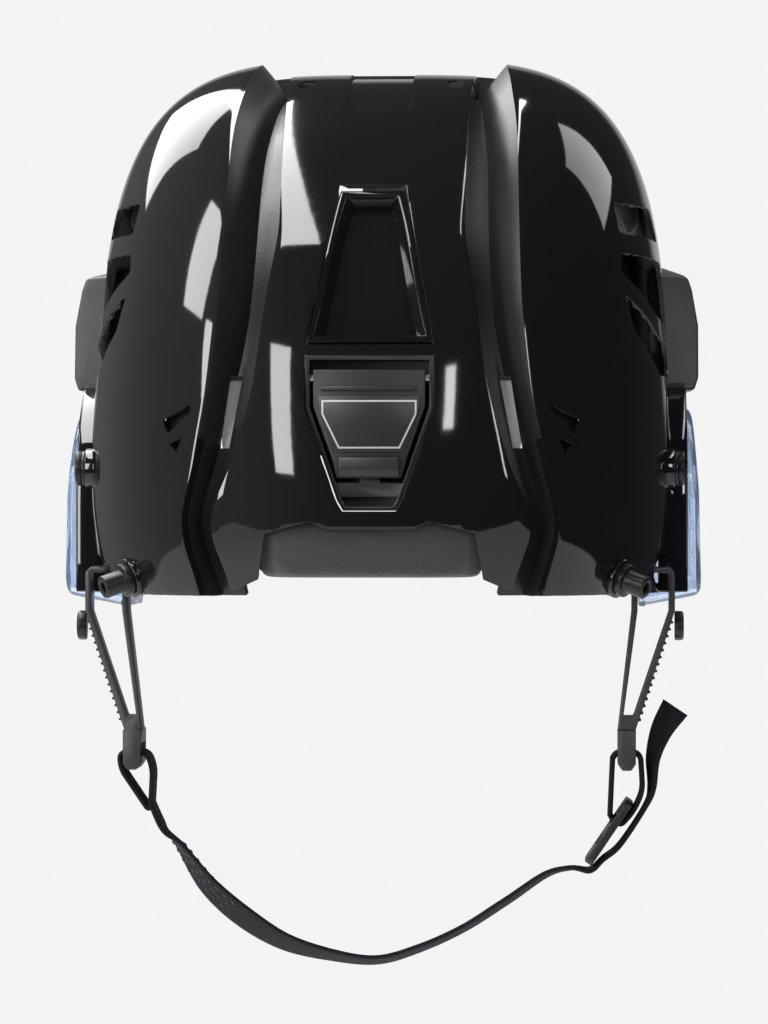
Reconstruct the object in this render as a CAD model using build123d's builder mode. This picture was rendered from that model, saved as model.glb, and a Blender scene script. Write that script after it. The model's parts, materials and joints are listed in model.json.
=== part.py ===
from build123d import *
import math
import os

os.makedirs("parts", exist_ok=True)

# An ice hockey helmet of two hard shells. The origin lies midway between the ears,
# +Z is up, the wearer faces +Y and the wearer's right is +X. Sizes are millimetres.
# Angles of the fan of sections turn about the X axis: 0 is straight ahead, 90 is
# the crown and 180 is straight back.

# Overall shape
shell_half_width = 97.0
crown_reach = 146.0
back_reach = 132.0
brow_reach = 142.0
wall = 4.0
overrun = 40.0
running_gap = 0.4
seat_gap = 0.3

# Lower edge, in side view
rear_edge_height = -31.0
front_leg_height = -14.0
front_leg_start = 38.0
front_leg_end = 60.0
temple_reach = 82.0
temple_height = 25.0
cheek_reach = 108.0
cheek_height = 41.0
brow_height = 47.0
ear_radius = 38.0
ear_gap_half = 36.0
ear_rim_width = 2.5
ear_rim_reach = 103.0
section_end_radius = 24.0

# Ridges and the channel between them
ridge_half_spread = 60.3
ridge_rise = 8.0
ridge_wall_spread = 9.9
ridge_wall_thickness = 3.2
channel_depth = 8.0
channel_floor = 3.0
channel_lip = 4.0
channel_floor_start = 17.0

# Rear shell
band_half_width = 51.2
band_wall = 3.5
band_side_depth = 7.0
band_bottom_middle = -24.6
band_bottom_side = -29.0
nape_opening_half = 36.0
nape_step_shares = (0.385, 0.526)
crown_recess_half = 11.5
crown_recess_depth = 1.5
crown_recess_angles = range(70, 119, 12)
crown_slot_x = 25.2
crown_slot_angle = 106
crown_slot_length = 13.0
crown_slot_width = 5.5
nape_opening_top = -9.6
nape_rise = 2.5
nape_set_back = 1.5
nape_angles = range(185, 198, 4)
cushion_angles = range(183, 196, 4)
slide_travel = 10.0

# Scoop in the rear shell
scoop_top_half = 10.7
scoop_bottom_half = 20.5
scoop_depth = 7.0
scoop_floor = 2.0
scoop_rim = 1.6
scoop_set_back = 1.4
scoop_bevel = 3.5
scoop_margin_angle = 0.5
scoop_slot_length = 16.0
scoop_slot_width = 3.0
scoop_slot_angle = 3.0

# Latch, with heights above the ear line and depths below the shell's rear face
latch_top_half = 20.8
latch_foot_half = 10.6
latch_bottom_half = 8.5
latch_top = 46.0
latch_shoulder = 29.0
latch_taper_end = -0.5
latch_bottom = -4.0
housing_depth = 16.0
housing_rim = 1.5
housing_floor = 1.8
housing_set_back = 4.0
lever_top_half = 17.8
lever_waist_half = 12.3
lever_foot_half = 10.3
lever_top = 41.0
lever_shoulder = 29.5
lever_waist = 14.0
lever_foot = 6.7
lever_thickness = 3.0
lever_set_back = 2.2
badge_thickness = 0.8
badge_margin = 1.6
latch_pin_level = 38.5
latch_pin_depth = 6.6
latch_pin_radius = 1.25
latch_knuckle_radius = 2.4
latch_bar_height = 4.5
latch_bar_top = 5.2
latch_bar_depth = 5.8
latch_tongue_half = 3.2
latch_tongue_rise = 4.0
pin_clearance = 0.05

# Lock behind the latch
prong_spacing = 20.0
prong_width = 4.0
prong_height = 6.0
prong_level = 21.0
prong_spare = 0.8
prong_play = 0.5
bridge_depth = 18.8
bridge_thickness = 2.2
bridge_half_width = 48.0
bridge_low = 14.0
bridge_high = 38.0
pawl_thickness = 1.8
pawl_half_width = 16.0
pawl_margin = 4.0
pawl_travel = 2.0
notch_pitch = 2.5
notch_depth = 0.8

# Linings
liner_gap = 0.5
pad_edge_share = 0.62
pad_steps = 4
forehead_pad_thickness = 13.0
temple_pad_thickness = 11.0
crown_pad_thickness = 13.0
top_pad_thickness = 9.0
rear_pad_thickness = 11.0
nape_pad_thickness = 12.0

# Ear guards
guard_flange_radius = 45.0
guard_flange_inner = 86.9
guard_flange_thickness = 2.0
guard_lobe_radius = 7.5
guard_radius = 35.4
guard_reach = 109.5
guard_wall = 2.2
guard_bottom = -36.0
guard_corner = 12.0
guard_taper = 10.0
guard_slot_length = 22.0
guard_slot_width = 5.0
guard_slot_spacing = 12.0

# Fasteners
screw_head_radius = 5.8
screw_head_height = 2.2
screw_shank_radius = 2.4
screw_recess_radius = 2.4
screw_recess_depth = 1.2
hole_clearance = 0.2
boss_radius = 6.6
boss_rise = 1.2
nut_radius = 5.0
nut_height = 2.4
rear_screw_y = -52.0
rear_screw_z = 10.5
front_screw_y = 49.0
front_screw_z = 2.0
side_screws = {"rear": (rear_screw_y, rear_screw_z), "front": (front_screw_y, front_screw_z)}
bracket_thickness = 1.2
bracket_half_height = 5.5
bracket_length = 11.4
bracket_window = 4.2
stud_angle = 196.0
stud_x = 79.5
stud_collar_radius = 5.5
stud_collar_height = 2.4
stud_post_radius = 3.75
stud_post_length = 7.0
stud_recess_radius = 1.85
stud_recess_depth = 3.5
brow_insert_angle = 26.0
brow_insert_x = 30.0
temple_insert_angle = 28.0
temple_insert_x = 76.0
insert_places = {
    "brow": (brow_insert_angle, brow_insert_x),
    "temple": (temple_insert_angle, temple_insert_x),
}
insert_radius = 4.4
insert_flange_radius = 6.5
insert_flange_thickness = 1.2
insert_bore = 2.1

# Chin strap
slot_y = -49.0
slot_height = -22.9
slot_half_length = 10.5
slot_half_height = 4.1
hanger_width = 11.6
hanger_thickness = 2.0
hanger_gap = 10.4
hanger_middle = 91.2
hanger_end_width = 20.0
hanger_end_top = -76.5
hanger_top = -22.3
hanger_straight = -37.0
hanger_bottom = -90.0
hanger_bottom_middle = 82.4
hanger_bottom_half = 3.0
hanger_bar = 4.4
hanger_eye_top = -81.4
hanger_leg_meet = 2.2
hanger_web_gap = -72.0
snap_radius = 4.9
snap_height = 3.0
snap_level = -42.0
rivet_radius = 1.5
webbing_width = 15.5
webbing_thickness = 1.8
loop_half = 4.6
loop_drop = 24.3
loop_radius = 1.3
strap_span = 72.5
strap_drop = 157.0
strap_forward = 22.0
buckle_length = 25.0
buckle_width = 22.0
buckle_thickness = 2.6
buckle_slot = 3.6
buckle_x = 76.5
buckle_height = -110.5
buckle_slope = 56.0

# Shares that shape the fan, by fan angle
front_bulge_shares = {-18: 0.92, 0: 0.965, 14: 1.0, 30: 1.027, 50: 1.026, 66: 1.011, 80: 1.0}
back_bulge_shares = {
    58: 1.003, 80: 1.003, 97: 1.001, 112: 1.015, 127: 1.034, 140: 1.0415, 152: 1.034,
    164: 1.019, 174: 1.005, 184: 0.99, 193: 0.955, 205: 0.90, 228: 0.80,
}
side_width_shares = {
    -18: 1.0, 112: 1.0, 140: 1.01, 164: 1.025, 184: 1.03, 228: 1.03,
}
fullness_exponents = {
    -18: 2.8, 14: 2.7, 30: 2.8, 50: 3.1, 66: 3.5, 80: 3.8, 97: 3.8, 112: 3.6, 127: 3.3,
    140: 3.0, 152: 2.8, 164: 2.65, 174: 2.55, 184: 2.45, 193: 2.4, 205: 2.35, 228: 2.3,
}
ridge_spread_shares = {
    58: 0.697, 97: 0.697, 112: 0.73, 127: 0.771, 140: 0.784, 152: 0.80, 164: 0.849,
    174: 0.929, 184: 1.0, 193: 0.929, 205: 0.83, 228: 0.746,
}
ridge_wall_shares = {
    58: 0.889, 97: 0.889, 112: 0.96, 127: 1.0, 140: 1.0, 152: 0.929, 164: 0.747,
    174: 0.626, 184: 0.515, 193: 0.535, 228: 0.535,
}
ridge_rise_shares = {
    58: 0.64, 97: 0.64, 112: 0.69, 127: 0.75, 140: 0.75, 152: 0.81, 164: 0.875,
    174: 0.94, 184: 1.0, 193: 0.94, 205: 0.875, 228: 0.75,
}
band_depth_shares = {56: 0.62, 86: 0.62, 104: 1.0}
band_width_shares = {
    58: 0.60, 80: 0.615, 97: 0.615, 112: 0.596, 127: 0.586, 140: 0.582, 152: 0.656,
    164: 0.732, 174: 0.855, 184: 1.0, 193: 0.898, 205: 0.82, 228: 0.742,
}
normal_step_angle = 0.5
normal_step_share = 0.0025
cap_end_angle = 80
cap_angles = range(-16, cap_end_angle + 1, 16)
flank_angles = range(cap_end_angle, 225, 12)
band_angles = range(56, 201, 12)
arch_steps = 6
band_steps = 6


def at(angle, table):
    """The table's value at a fan angle, straight between its entries."""
    keys = sorted(table)
    if angle <= keys[0]:
        return table[keys[0]]
    for low, high in zip(keys, keys[1:]):
        if angle <= high:
            share = (angle - low) / (high - low)
            return table[low] + (table[high] - table[low]) * share
    return table[keys[-1]]


def ellipse_reach(level_reach, upright_reach, angle):
    """Radius of an ellipse in side view, at a fan angle."""
    turn = math.radians(angle)
    return 1 / math.hypot(math.cos(turn) / level_reach, math.sin(turn) / upright_reach)


def side_width(angle):
    """Half width of the shell at the ear line."""
    return shell_half_width * at(angle, side_width_shares)


def arch_radius(x, angle, reach, inset=0):
    """Radius of the arch above a place x across the head."""
    power = at(angle, fullness_exponents)
    share = min(abs(x) / (side_width(angle) - inset), 1)
    return (reach - inset) * (1 - share**power) ** (1 / power)


def band_reach(angle):
    """Middle radius of the rear shell's outer face."""
    return ellipse_reach(back_reach, crown_reach, angle) * at(angle, back_bulge_shares)


def band_radius(x, angle, inset=0):
    """Radius of the rear shell's face at a place x across it."""
    return arch_radius(x, angle, band_reach(angle), inset)


def ridge_x(angle):
    """Distance of the ridge's crest from the middle."""
    return ridge_half_spread * at(angle, ridge_spread_shares)


def band_x(angle):
    """Half width of the rear shell."""
    return band_half_width * at(angle, band_width_shares)


def ridge_radius(angle):
    """Radius of the ridge's crest."""
    return band_radius(ridge_x(angle), angle) + ridge_rise * at(angle, ridge_rise_shares)


def flank_reach(angle):
    """Reach of the arch that runs through the ridge's crest."""
    power = at(angle, fullness_exponents)
    share = ridge_x(angle) / side_width(angle)
    return ridge_radius(angle) / (1 - share**power) ** (1 / power)


def dome_reach(angle):
    """Reach of the front shell's outer arch, before and behind the crown."""
    if angle >= cap_end_angle:
        return flank_reach(angle)
    upright = flank_reach(cap_end_angle)
    ends = at(cap_end_angle, front_bulge_shares)
    full = ellipse_reach(brow_reach, upright, cap_end_angle) * ends
    fit = 1 + (upright / full - 1) * at(angle, {50: 0, cap_end_angle: 1})
    return ellipse_reach(brow_reach, upright, angle) * at(angle, front_bulge_shares) * fit


def arch_point(turn, angle, reach, inset=0):
    """Point of the arch in its section: right ear at turn 0, middle 90, left ear 180."""
    power = at(angle, fullness_exponents)
    across = math.cos(math.radians(turn))
    x = (side_width(angle) - inset) * math.copysign(abs(across) ** (2 / power), across)
    radius = (reach - inset) * math.sin(math.radians(turn)) ** (2 / power)
    return (x, radius)


def turn_at_radius(radius, angle, reach, inset=0):
    """Turn at which the arch has this radius."""
    power = at(angle, fullness_exponents)
    return math.degrees(math.asin((radius / (reach - inset)) ** (power / 2)))


def turn_at_x(x, angle, inset=0):
    """Turn at which the arch is this far from the middle."""
    power = at(angle, fullness_exponents)
    return math.degrees(math.acos((x / (side_width(angle) - inset)) ** (power / 2)))


def arch_points(start, end, angle, reach, inset=0):
    """Points of the arch between two turns."""
    turns = [start + (end - start) * step / arch_steps for step in range(arch_steps + 1)]
    return [arch_point(turn, angle, reach, inset) for turn in turns]


def fan_plane(angle):
    """Plane through the X axis, with its Y direction along the fan angle."""
    turn = math.radians(angle)
    return Plane(origin=(0, 0, 0), x_dir=(1, 0, 0), z_dir=(0, -math.sin(turn), math.cos(turn)))


def side_point(angle, x, radius):
    """A point of the fan in the helmet's own directions."""
    turn = math.radians(angle)
    return Vector(x, radius * math.cos(turn), radius * math.sin(turn))


def dome_point(angle, x, inset=0):
    """Point of the front shell's outer arch."""
    return side_point(angle, x, arch_radius(x, angle, dome_reach(angle), inset))


def dome_normal(angle, x):
    """Outward direction of the front shell's arch."""
    small = shell_half_width * normal_step_share
    along = dome_point(angle + normal_step_angle, x) - dome_point(angle - normal_step_angle, x)
    across = dome_point(angle, x + small) - dome_point(angle, x - small)
    normal = across.cross(along).normalized()
    return normal if normal.dot(dome_point(angle, x)) > 0 else normal * -1


def dome_plane(angle, x):
    """Plane that lies on the front shell, with its normal outwards and its X upwards."""
    normal = dome_normal(angle, x)
    upwards = Vector(0, 0, 1) - normal * normal.Z
    return Plane(origin=dome_point(angle, x), x_dir=upwards, z_dir=normal)


def stud_plane(side):
    """Plane on which a rear stud's collar sits, with its normal outwards."""
    return dome_plane(stud_angle, stud_x * side).offset(boss_rise)


def side_x(y, z):
    """Distance of the shell's outer side from the middle, at a place in side view."""
    angle = math.degrees(math.atan2(z, y)) % 360
    angle = angle - 360 if angle > 300 else angle
    power = at(angle, fullness_exponents)
    share = math.hypot(y, z) / dome_reach(angle)
    return side_width(angle) * (1 - share**power) ** (1 / power)


def screw_seat(place):
    """Distance from the middle of the seat under a side screw or its bracket."""
    y, z = side_screws[place]
    near_ear = bracket_length if place == "rear" else -screw_head_radius
    return side_x(y + near_ear, 0) + seat_gap


def flip(points, side):
    """Outline points on the chosen side of the helmet."""
    return [(x * side, y) for x, y in points]


def both_halves(points):
    """A closed outline from the points of its right half, from the top down."""
    return [*points, *((-x, y) for x, y in reversed(points))]


def save(piece, name):
    """Labels a finished piece and writes it."""
    piece.part.label = name
    export_step(piece.part, f"parts/{name}.step")


# Front shell: forehead, crown, sides and rear flanks in one moulding
def side_runs(angle, reach, crest):
    """Outer and inner arch points from the ear up to the line of the ridge."""
    runs = []
    for inset, end_x in ((0, crest), (wall, crest + ridge_wall_thickness / 4)):
        start = turn_at_radius(section_end_radius, angle, reach, inset)
        end = turn_at_x(end_x, angle, inset)
        runs.append(arch_points(start, end, angle, reach, inset))
    return runs


def cap_section(angle):
    """Right side, middle and left side of the front part's outer and inner arch."""
    reach = dome_reach(angle)
    arches = []
    for inset, run in zip((0, wall), side_runs(angle, reach, ridge_x(cap_end_angle))):
        turn = turn_at_x(run[-1][0], angle, inset)
        middle = arch_points(turn, 180 - turn, angle, reach, inset)
        arches.append([run, middle, [(-x, y) for x, y in reversed(run)]])
    return arches


def flank_section(angle, side):
    """Flank, ridge, inner wall of the ridge and floor of the channel."""
    reach = flank_reach(angle)
    crest = ridge_x(angle)
    foot = crest - ridge_wall_spread * at(angle, ridge_wall_shares)
    lip = band_x(angle) - channel_lip
    foot_radius = band_radius(foot, angle) - channel_depth
    lip_radius = band_radius(lip, angle) - channel_depth
    outer, inner = side_runs(angle, reach, crest)
    fold = [
        (foot, foot_radius),
        (lip, lip_radius),
        (lip, lip_radius - channel_floor),
        (foot + ridge_wall_thickness, foot_radius - channel_floor),
    ]
    return flip(outer, side), flip(fold, side), flip(inner, side)


def loft_flank(side):
    """One rear flank of the front shell."""
    with BuildPart() as flank:
        for angle in flank_angles:
            outer, fold, inner = flank_section(angle, side)
            with BuildSketch(fan_plane(angle)):
                with BuildLine():
                    Spline(*outer)
                    Polyline(outer[-1], *fold, inner[-1])
                    Spline(*reversed(inner))
                    Line(inner[0], outer[0])
                make_face()
        loft()
    return flank.part


lower_outline = [
    (-back_reach - overrun, rear_edge_height),
    (front_leg_start - ear_radius / 2, rear_edge_height),
    (front_leg_start, front_leg_height),
    (front_leg_end, front_leg_height),
    (temple_reach, temple_height),
    (cheek_reach, cheek_height),
    (brow_reach + overrun, brow_height),
    (brow_reach + overrun, -crown_reach),
    (-back_reach - overrun, -crown_reach),
]

# Windows in the sides, in side view: back to front and downwards
window_rear = -58.0
window_front = -26.0
window_low_front = -17.0
window_top = 98.0
window_bottom = 41.0
strut_width = 7.0
strut_rise = 26.0
window_middle_top = 80.0
side_windows = [
    [
        (window_rear, window_top),
        (window_front - strut_width / 2, window_top),
        (window_front, window_middle_top + strut_width),
        (window_rear, window_middle_top + strut_width),
    ],
    [
        (window_rear, window_middle_top),
        (window_front, window_middle_top),
        (window_low_front, window_bottom + strut_width * 2),
        (window_rear, window_bottom + strut_width * 2 + strut_rise - strut_width),
    ],
    [
        (window_rear, window_bottom + strut_rise),
        (window_low_front, window_bottom + strut_width),
        (window_low_front, window_bottom),
        (window_rear, window_bottom),
    ],
]

# Side vents beside the forehead, in side view

# Flare over each side vent
flare_reach = 107.5
flare_back = -8.0
flare_front = 72.0
flare_top = 84.0
flare_bottom = 36.0
flare_taper = 12.0
flare_slope = 6.0
flare_root = 90.0

# Long vents in the forehead and the crown
brow_vent_angle = 48.0
brow_vent_length = 46.0
brow_vent_width = 9.0
brow_vent_x = 17.0
crown_vent_x = 48.0
crown_vent_angle = 66.0
crown_vent_length = 44.0
crown_vent_width = 9.0

# Small openings in the rear flanks and the channel, in rear view: slot, gill and window
rear_opening_front = 70.0
flank_openings = [
    [(x * back_reach, z * back_reach) for x, z in shares]
    for shares in (
        [(0.507, 0.192), (0.436, 0.228), (0.432, 0.206), (0.492, 0.160)],
        [(0.487, 0.133), (0.453, 0.153), (0.470, 0.111)],
        [(0.311, 0.298), (0.338, 0.298), (0.366, 0.123), (0.344, 0.123)],
    )
]

rear_plane = Plane(origin=(0, -back_reach, 0), x_dir=(1, 0, 0), z_dir=(0, -1, 0))

# The parts of the front shell that stand out on its right side
with BuildPart() as side_forms:
    # Flare over the side vent
    with BuildSketch(Plane.YZ.offset(flare_root)):
        with BuildLine():
            Polyline(
                (flare_back, flare_bottom),
                (flare_back + flare_slope, flare_top - flare_slope),
                (flare_front - flare_slope * 2, flare_top),
                (flare_front, flare_top - flare_slope * 3),
                (flare_front - flare_slope * 2, flare_bottom),
                close=True,
            )
        make_face()
    extrude(amount=flare_reach - flare_root, taper=flare_taper)
    # Rim round the ear
    with BuildSketch(Plane.YZ.offset(shell_half_width - wall)):
        Circle(ear_radius + ear_rim_width)
        Circle(ear_radius, mode=Mode.SUBTRACT)
        with Locations((0, -ear_radius)):
            Rectangle(ear_radius * 4, ear_radius * 2, mode=Mode.SUBTRACT)
        with Locations((-ear_radius - ear_rim_width / 2, rear_edge_height / 2)):
            Rectangle(ear_rim_width, -rear_edge_height)
    extrude(amount=ear_rim_reach - shell_half_width + wall)
    # Bosses under the side screws
    for place, (y, z) in side_screws.items():
        boss_start = guard_flange_inner + guard_flange_thickness + seat_gap
        with BuildSketch(Plane.YZ.offset(boss_start)):
            with Locations((y, z)):
                Circle(boss_radius)
        extrude(amount=screw_seat(place) - boss_start)

with BuildPart() as front_shell:
    for angle in cap_angles:
        outer_runs, inner_runs = cap_section(angle)
        with BuildSketch(fan_plane(angle)):
            with BuildLine():
                for run in outer_runs:
                    Spline(*run)
                Line(outer_runs[-1][-1], inner_runs[-1][-1])
                for run in reversed(inner_runs):
                    Spline(*reversed(run))
                Line(inner_runs[0][0], outer_runs[0][0])
            make_face()
    loft()
    for side in (-1, 1):
        add(loft_flank(side))
    # The channel's floor starts behind the crown, so the band's tongue can slide
    floor_level = crown_reach - channel_depth - channel_floor
    with BuildSketch(Plane.XY.offset(floor_level - overrun)):
        with Locations((0, channel_floor_start)):
            Rectangle(
                (ridge_x(cap_end_angle) - ridge_wall_spread) * 2 - running_gap,
                channel_floor_start * 4,
            )
    extrude(amount=overrun + channel_floor, mode=Mode.SUBTRACT)
    add(side_forms.part)
    mirror(side_forms.part, about=Plane.YZ)
    # Lower edge, ear openings, side windows and strap slots, cut straight across
    with BuildSketch(Plane.YZ):
        with BuildLine():
            Polyline(*lower_outline, close=True)
        make_face()
        Circle(ear_radius)
        with Locations((0, rear_edge_height)):
            Rectangle(ear_gap_half * 2, -rear_edge_height * 2)
        for window in side_windows:
            with BuildLine():
                Polyline(*window, close=True)
            make_face()
        with Locations((slot_y, slot_height)):
            SlotOverall(slot_half_length * 2, slot_half_height * 2)
    extrude(amount=shell_half_width + overrun, both=True, mode=Mode.SUBTRACT)
    for side in (-1, 1):
        # Vents beside and above the forehead
        with BuildSketch(dome_plane(brow_vent_angle, brow_vent_x * side)):
            SlotOverall(brow_vent_length, brow_vent_width)
        extrude(amount=wall * 3, both=True, mode=Mode.SUBTRACT)
        with BuildSketch(dome_plane(crown_vent_angle, crown_vent_x * side)):
            SlotOverall(crown_vent_length, crown_vent_width)
        extrude(amount=wall * 3, both=True, mode=Mode.SUBTRACT)
        # Small openings in the flanks, seen from behind
        with BuildSketch(Plane.XZ.offset(rear_opening_front)):
            for outline in flank_openings:
                with BuildLine():
                    Polyline(*flip(outline, side), close=True)
                make_face()
        extrude(amount=back_reach, mode=Mode.SUBTRACT)
        # Seats and holes of the studs and the threaded inserts
        with BuildSketch(stud_plane(side)):
            Circle(boss_radius)
        extrude(amount=-wall * 1.5)
        with BuildSketch(stud_plane(side)):
            Circle(screw_shank_radius + hole_clearance)
        extrude(amount=wall * 4, both=True, mode=Mode.SUBTRACT)
        with BuildSketch(stud_plane(side).offset(-wall * 1.5)):
            Circle(nut_radius + seat_gap)
        extrude(amount=-wall, mode=Mode.SUBTRACT)
        for angle, x in insert_places.values():
            with BuildSketch(dome_plane(angle, x * side)):
                Circle(insert_radius + hole_clearance)
            extrude(amount=wall * 2, both=True, mode=Mode.SUBTRACT)
            with BuildSketch(dome_plane(angle, x * side).offset(-wall)):
                Circle(insert_flange_radius + seat_gap)
            extrude(amount=-wall, mode=Mode.SUBTRACT)
    # Holes of the side screws
    for y, z in side_screws.values():
        with BuildSketch(Plane.YZ):
            with Locations((y, z)):
                Circle(screw_shank_radius + hole_clearance)
        extrude(amount=shell_half_width + overrun, both=True, mode=Mode.SUBTRACT)

save(front_shell, "front_shell")


# Studs, inserts and screws on the front shell
def screw_along_x(name, y, z, seat, side):
    """A side screw, its head on the seat and its shank through shell and guard."""
    nut_face = guard_flange_inner - nut_height
    with BuildPart() as screw:
        with BuildSketch(Plane.YZ.offset(seat)):
            with Locations((y, z)):
                Circle(screw_head_radius)
        extrude(amount=screw_head_height)
        head_edges = screw.edges().group_by(Axis.X)[-1]
        fillet(head_edges, screw_head_height / 3)
        with BuildSketch(Plane.YZ.offset(seat + screw_head_height)):
            with Locations((y, z)):
                Rectangle(screw_recess_radius * 2, screw_recess_depth)
                Rectangle(screw_recess_depth, screw_recess_radius * 2)
        extrude(amount=-screw_recess_depth, mode=Mode.SUBTRACT)
        with BuildSketch(Plane.YZ.offset(nut_face)):
            with Locations((y, z)):
                Circle(screw_shank_radius)
        extrude(amount=seat - nut_face)
        if side < 0:
            mirror(about=Plane.YZ, mode=Mode.REPLACE)
    save(screw, name)


def nut_along_x(name, y, z, side):
    """The nut of a side screw, against the inner face of the ear guard."""
    with BuildPart() as nut:
        with BuildSketch(Plane.YZ.offset(guard_flange_inner - nut_height)):
            with Locations((y, z)):
                RegularPolygon(nut_radius, 6)
                Circle(screw_shank_radius + pin_clearance, mode=Mode.SUBTRACT)
        extrude(amount=nut_height)
        if side < 0:
            mirror(about=Plane.YZ, mode=Mode.REPLACE)
    save(nut, name)


for side, word in ((-1, "left"), (1, "right")):
    for place, (y, z) in side_screws.items():
        seat = screw_seat(place)
        if place == "rear":
            with BuildPart() as bracket:
                with BuildSketch(Plane.YZ.offset(seat)):
                    with Locations((y, z)):
                        Circle(screw_head_radius)
                        with Locations((bracket_length / 2, 0)):
                            Rectangle(bracket_length, bracket_half_height * 2)
                        with Locations((bracket_length - bracket_window / 2 - bracket_thickness, 0)):
                            Rectangle(bracket_window, bracket_window, mode=Mode.SUBTRACT)
                        Circle(screw_shank_radius + hole_clearance, mode=Mode.SUBTRACT)
                extrude(amount=bracket_thickness)
                if side < 0:
                    mirror(about=Plane.YZ, mode=Mode.REPLACE)
            save(bracket, f"{word}_side_bracket")
            seat += bracket_thickness
        screw_along_x(f"{word}_{place}_side_screw", y, z, seat, side)
        nut_along_x(f"{word}_{place}_side_nut", y, z, side)

    with BuildPart() as stud:
        with BuildSketch(stud_plane(side)):
            Circle(stud_collar_radius)
        extrude(amount=stud_collar_height)
        with BuildSketch(stud_plane(side).offset(stud_collar_height)):
            Circle(stud_post_radius)
        extrude(amount=stud_post_length)
        with BuildSketch(stud_plane(side).offset(stud_collar_height + stud_post_length)):
            Circle(stud_recess_radius)
        extrude(amount=-stud_recess_depth, mode=Mode.SUBTRACT)
        with BuildSketch(stud_plane(side)):
            Circle(screw_shank_radius)
        extrude(amount=-wall * 1.5 - nut_height)
    save(stud, f"{word}_rear_stud")

    with BuildPart() as stud_nut:
        with BuildSketch(stud_plane(side).offset(-wall * 1.5)):
            RegularPolygon(nut_radius, 6)
            Circle(screw_shank_radius + pin_clearance, mode=Mode.SUBTRACT)
        extrude(amount=-nut_height)
    save(stud_nut, f"{word}_stud_nut")

    for place, (angle, x) in insert_places.items():
        with BuildPart() as insert:
            plane = dome_plane(angle, x * side)
            with BuildSketch(plane.offset(-wall)):
                Circle(insert_radius)
            extrude(amount=wall)
            with BuildSketch(plane.offset(-wall - seat_gap)):
                Circle(insert_flange_radius)
            extrude(amount=-insert_flange_thickness)
            with BuildSketch(plane.offset(-wall - seat_gap)):
                Circle(insert_radius)
            extrude(amount=seat_gap)
            with BuildSketch(plane.offset(-wall * 2)):
                Circle(insert_bore)
            extrude(amount=wall * 3, mode=Mode.SUBTRACT)
        save(insert, f"{word}_{place}_insert")


# Ear guards: a clear dish in the ear opening, with a flange inside the shell
for side, word in ((-1, "left"), (1, "right")):
    with BuildPart() as ear_guard:
        with BuildSketch(Plane.YZ.offset(guard_flange_inner)):
            Circle(guard_flange_radius)
            for y, z in side_screws.values():
                with Locations((y, z)):
                    Circle(guard_lobe_radius)
                with Locations((y - math.copysign(guard_lobe_radius, y), z)):
                    Rectangle(guard_lobe_radius * 2, guard_lobe_radius * 1.6)
            with Locations((0, guard_bottom * 2)):
                Rectangle(guard_flange_radius * 3, -guard_bottom * 2, mode=Mode.SUBTRACT)
        extrude(amount=guard_flange_thickness)
        with BuildSketch(Plane.YZ.offset(guard_flange_inner)) as dish:
            Circle(guard_radius)
            with Locations((0, guard_bottom / 2)):
                Rectangle(guard_radius * 2, -guard_bottom)
            fillet(dish.vertices().group_by(Axis.Z)[0], guard_corner)
        extrude(amount=guard_reach - guard_flange_inner, taper=guard_taper)
        fillet(ear_guard.edges().group_by(Axis.X)[-1], guard_wall * 1.5)
        with BuildSketch(Plane.YZ.offset(guard_flange_inner)) as hollow:
            Circle(guard_radius - guard_wall)
            with Locations((0, (guard_bottom + guard_wall) / 2)):
                Rectangle((guard_radius - guard_wall) * 2, -guard_bottom - guard_wall)
            fillet(hollow.vertices().group_by(Axis.Z)[0], guard_corner - guard_wall)
        extrude(
            amount=guard_reach - guard_flange_inner - guard_wall,
            taper=guard_taper,
            mode=Mode.SUBTRACT,
        )
        with BuildSketch(Plane.YZ.offset(guard_reach - guard_wall * 2)):
            with GridLocations(guard_slot_spacing, guard_slot_spacing, 3, 1):
                SlotOverall(guard_slot_length, guard_slot_width, rotation=90)
        extrude(amount=guard_wall * 3, mode=Mode.SUBTRACT)
        with BuildSketch(Plane.YZ):
            for y, z in side_screws.values():
                with Locations((y, z)):
                    Circle(screw_shank_radius + hole_clearance)
        extrude(amount=guard_reach, mode=Mode.SUBTRACT)
        if side < 0:
            mirror(about=Plane.YZ, mode=Mode.REPLACE)
    save(ear_guard, f"{word}_ear_guard")


# Rear shell: the band in the middle, from its tongue under the crown to the nape
def band_section(angle):
    """Outer and inner face points of the band, from left to right."""
    half = band_x(angle)
    inner_half = half - band_wall
    steps = range(-band_steps, band_steps + 1)
    outer = [(half * i / band_steps, band_radius(half * i / band_steps, angle)) for i in steps]
    inner = [
        (inner_half * i / band_steps, band_radius(inner_half * i / band_steps, angle, band_wall))
        for i in steps
    ]
    return outer, inner


def fan_block(angles, half_widths, outer_inset, inner_inset, bevel=0):
    """A block that follows the rear shell's middle, between two depths."""
    with BuildPart() as block:
        for angle, half in zip(angles, half_widths):
            outer = band_reach(angle) - outer_inset
            inner = band_reach(angle) - inner_inset
            with BuildSketch(fan_plane(angle)):
                with BuildLine():
                    Polyline(
                        (-half, outer),
                        (half, outer),
                        (half - bevel, inner),
                        (bevel - half, inner),
                        close=True,
                    )
                make_face()
        loft()
    return block.part


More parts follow.
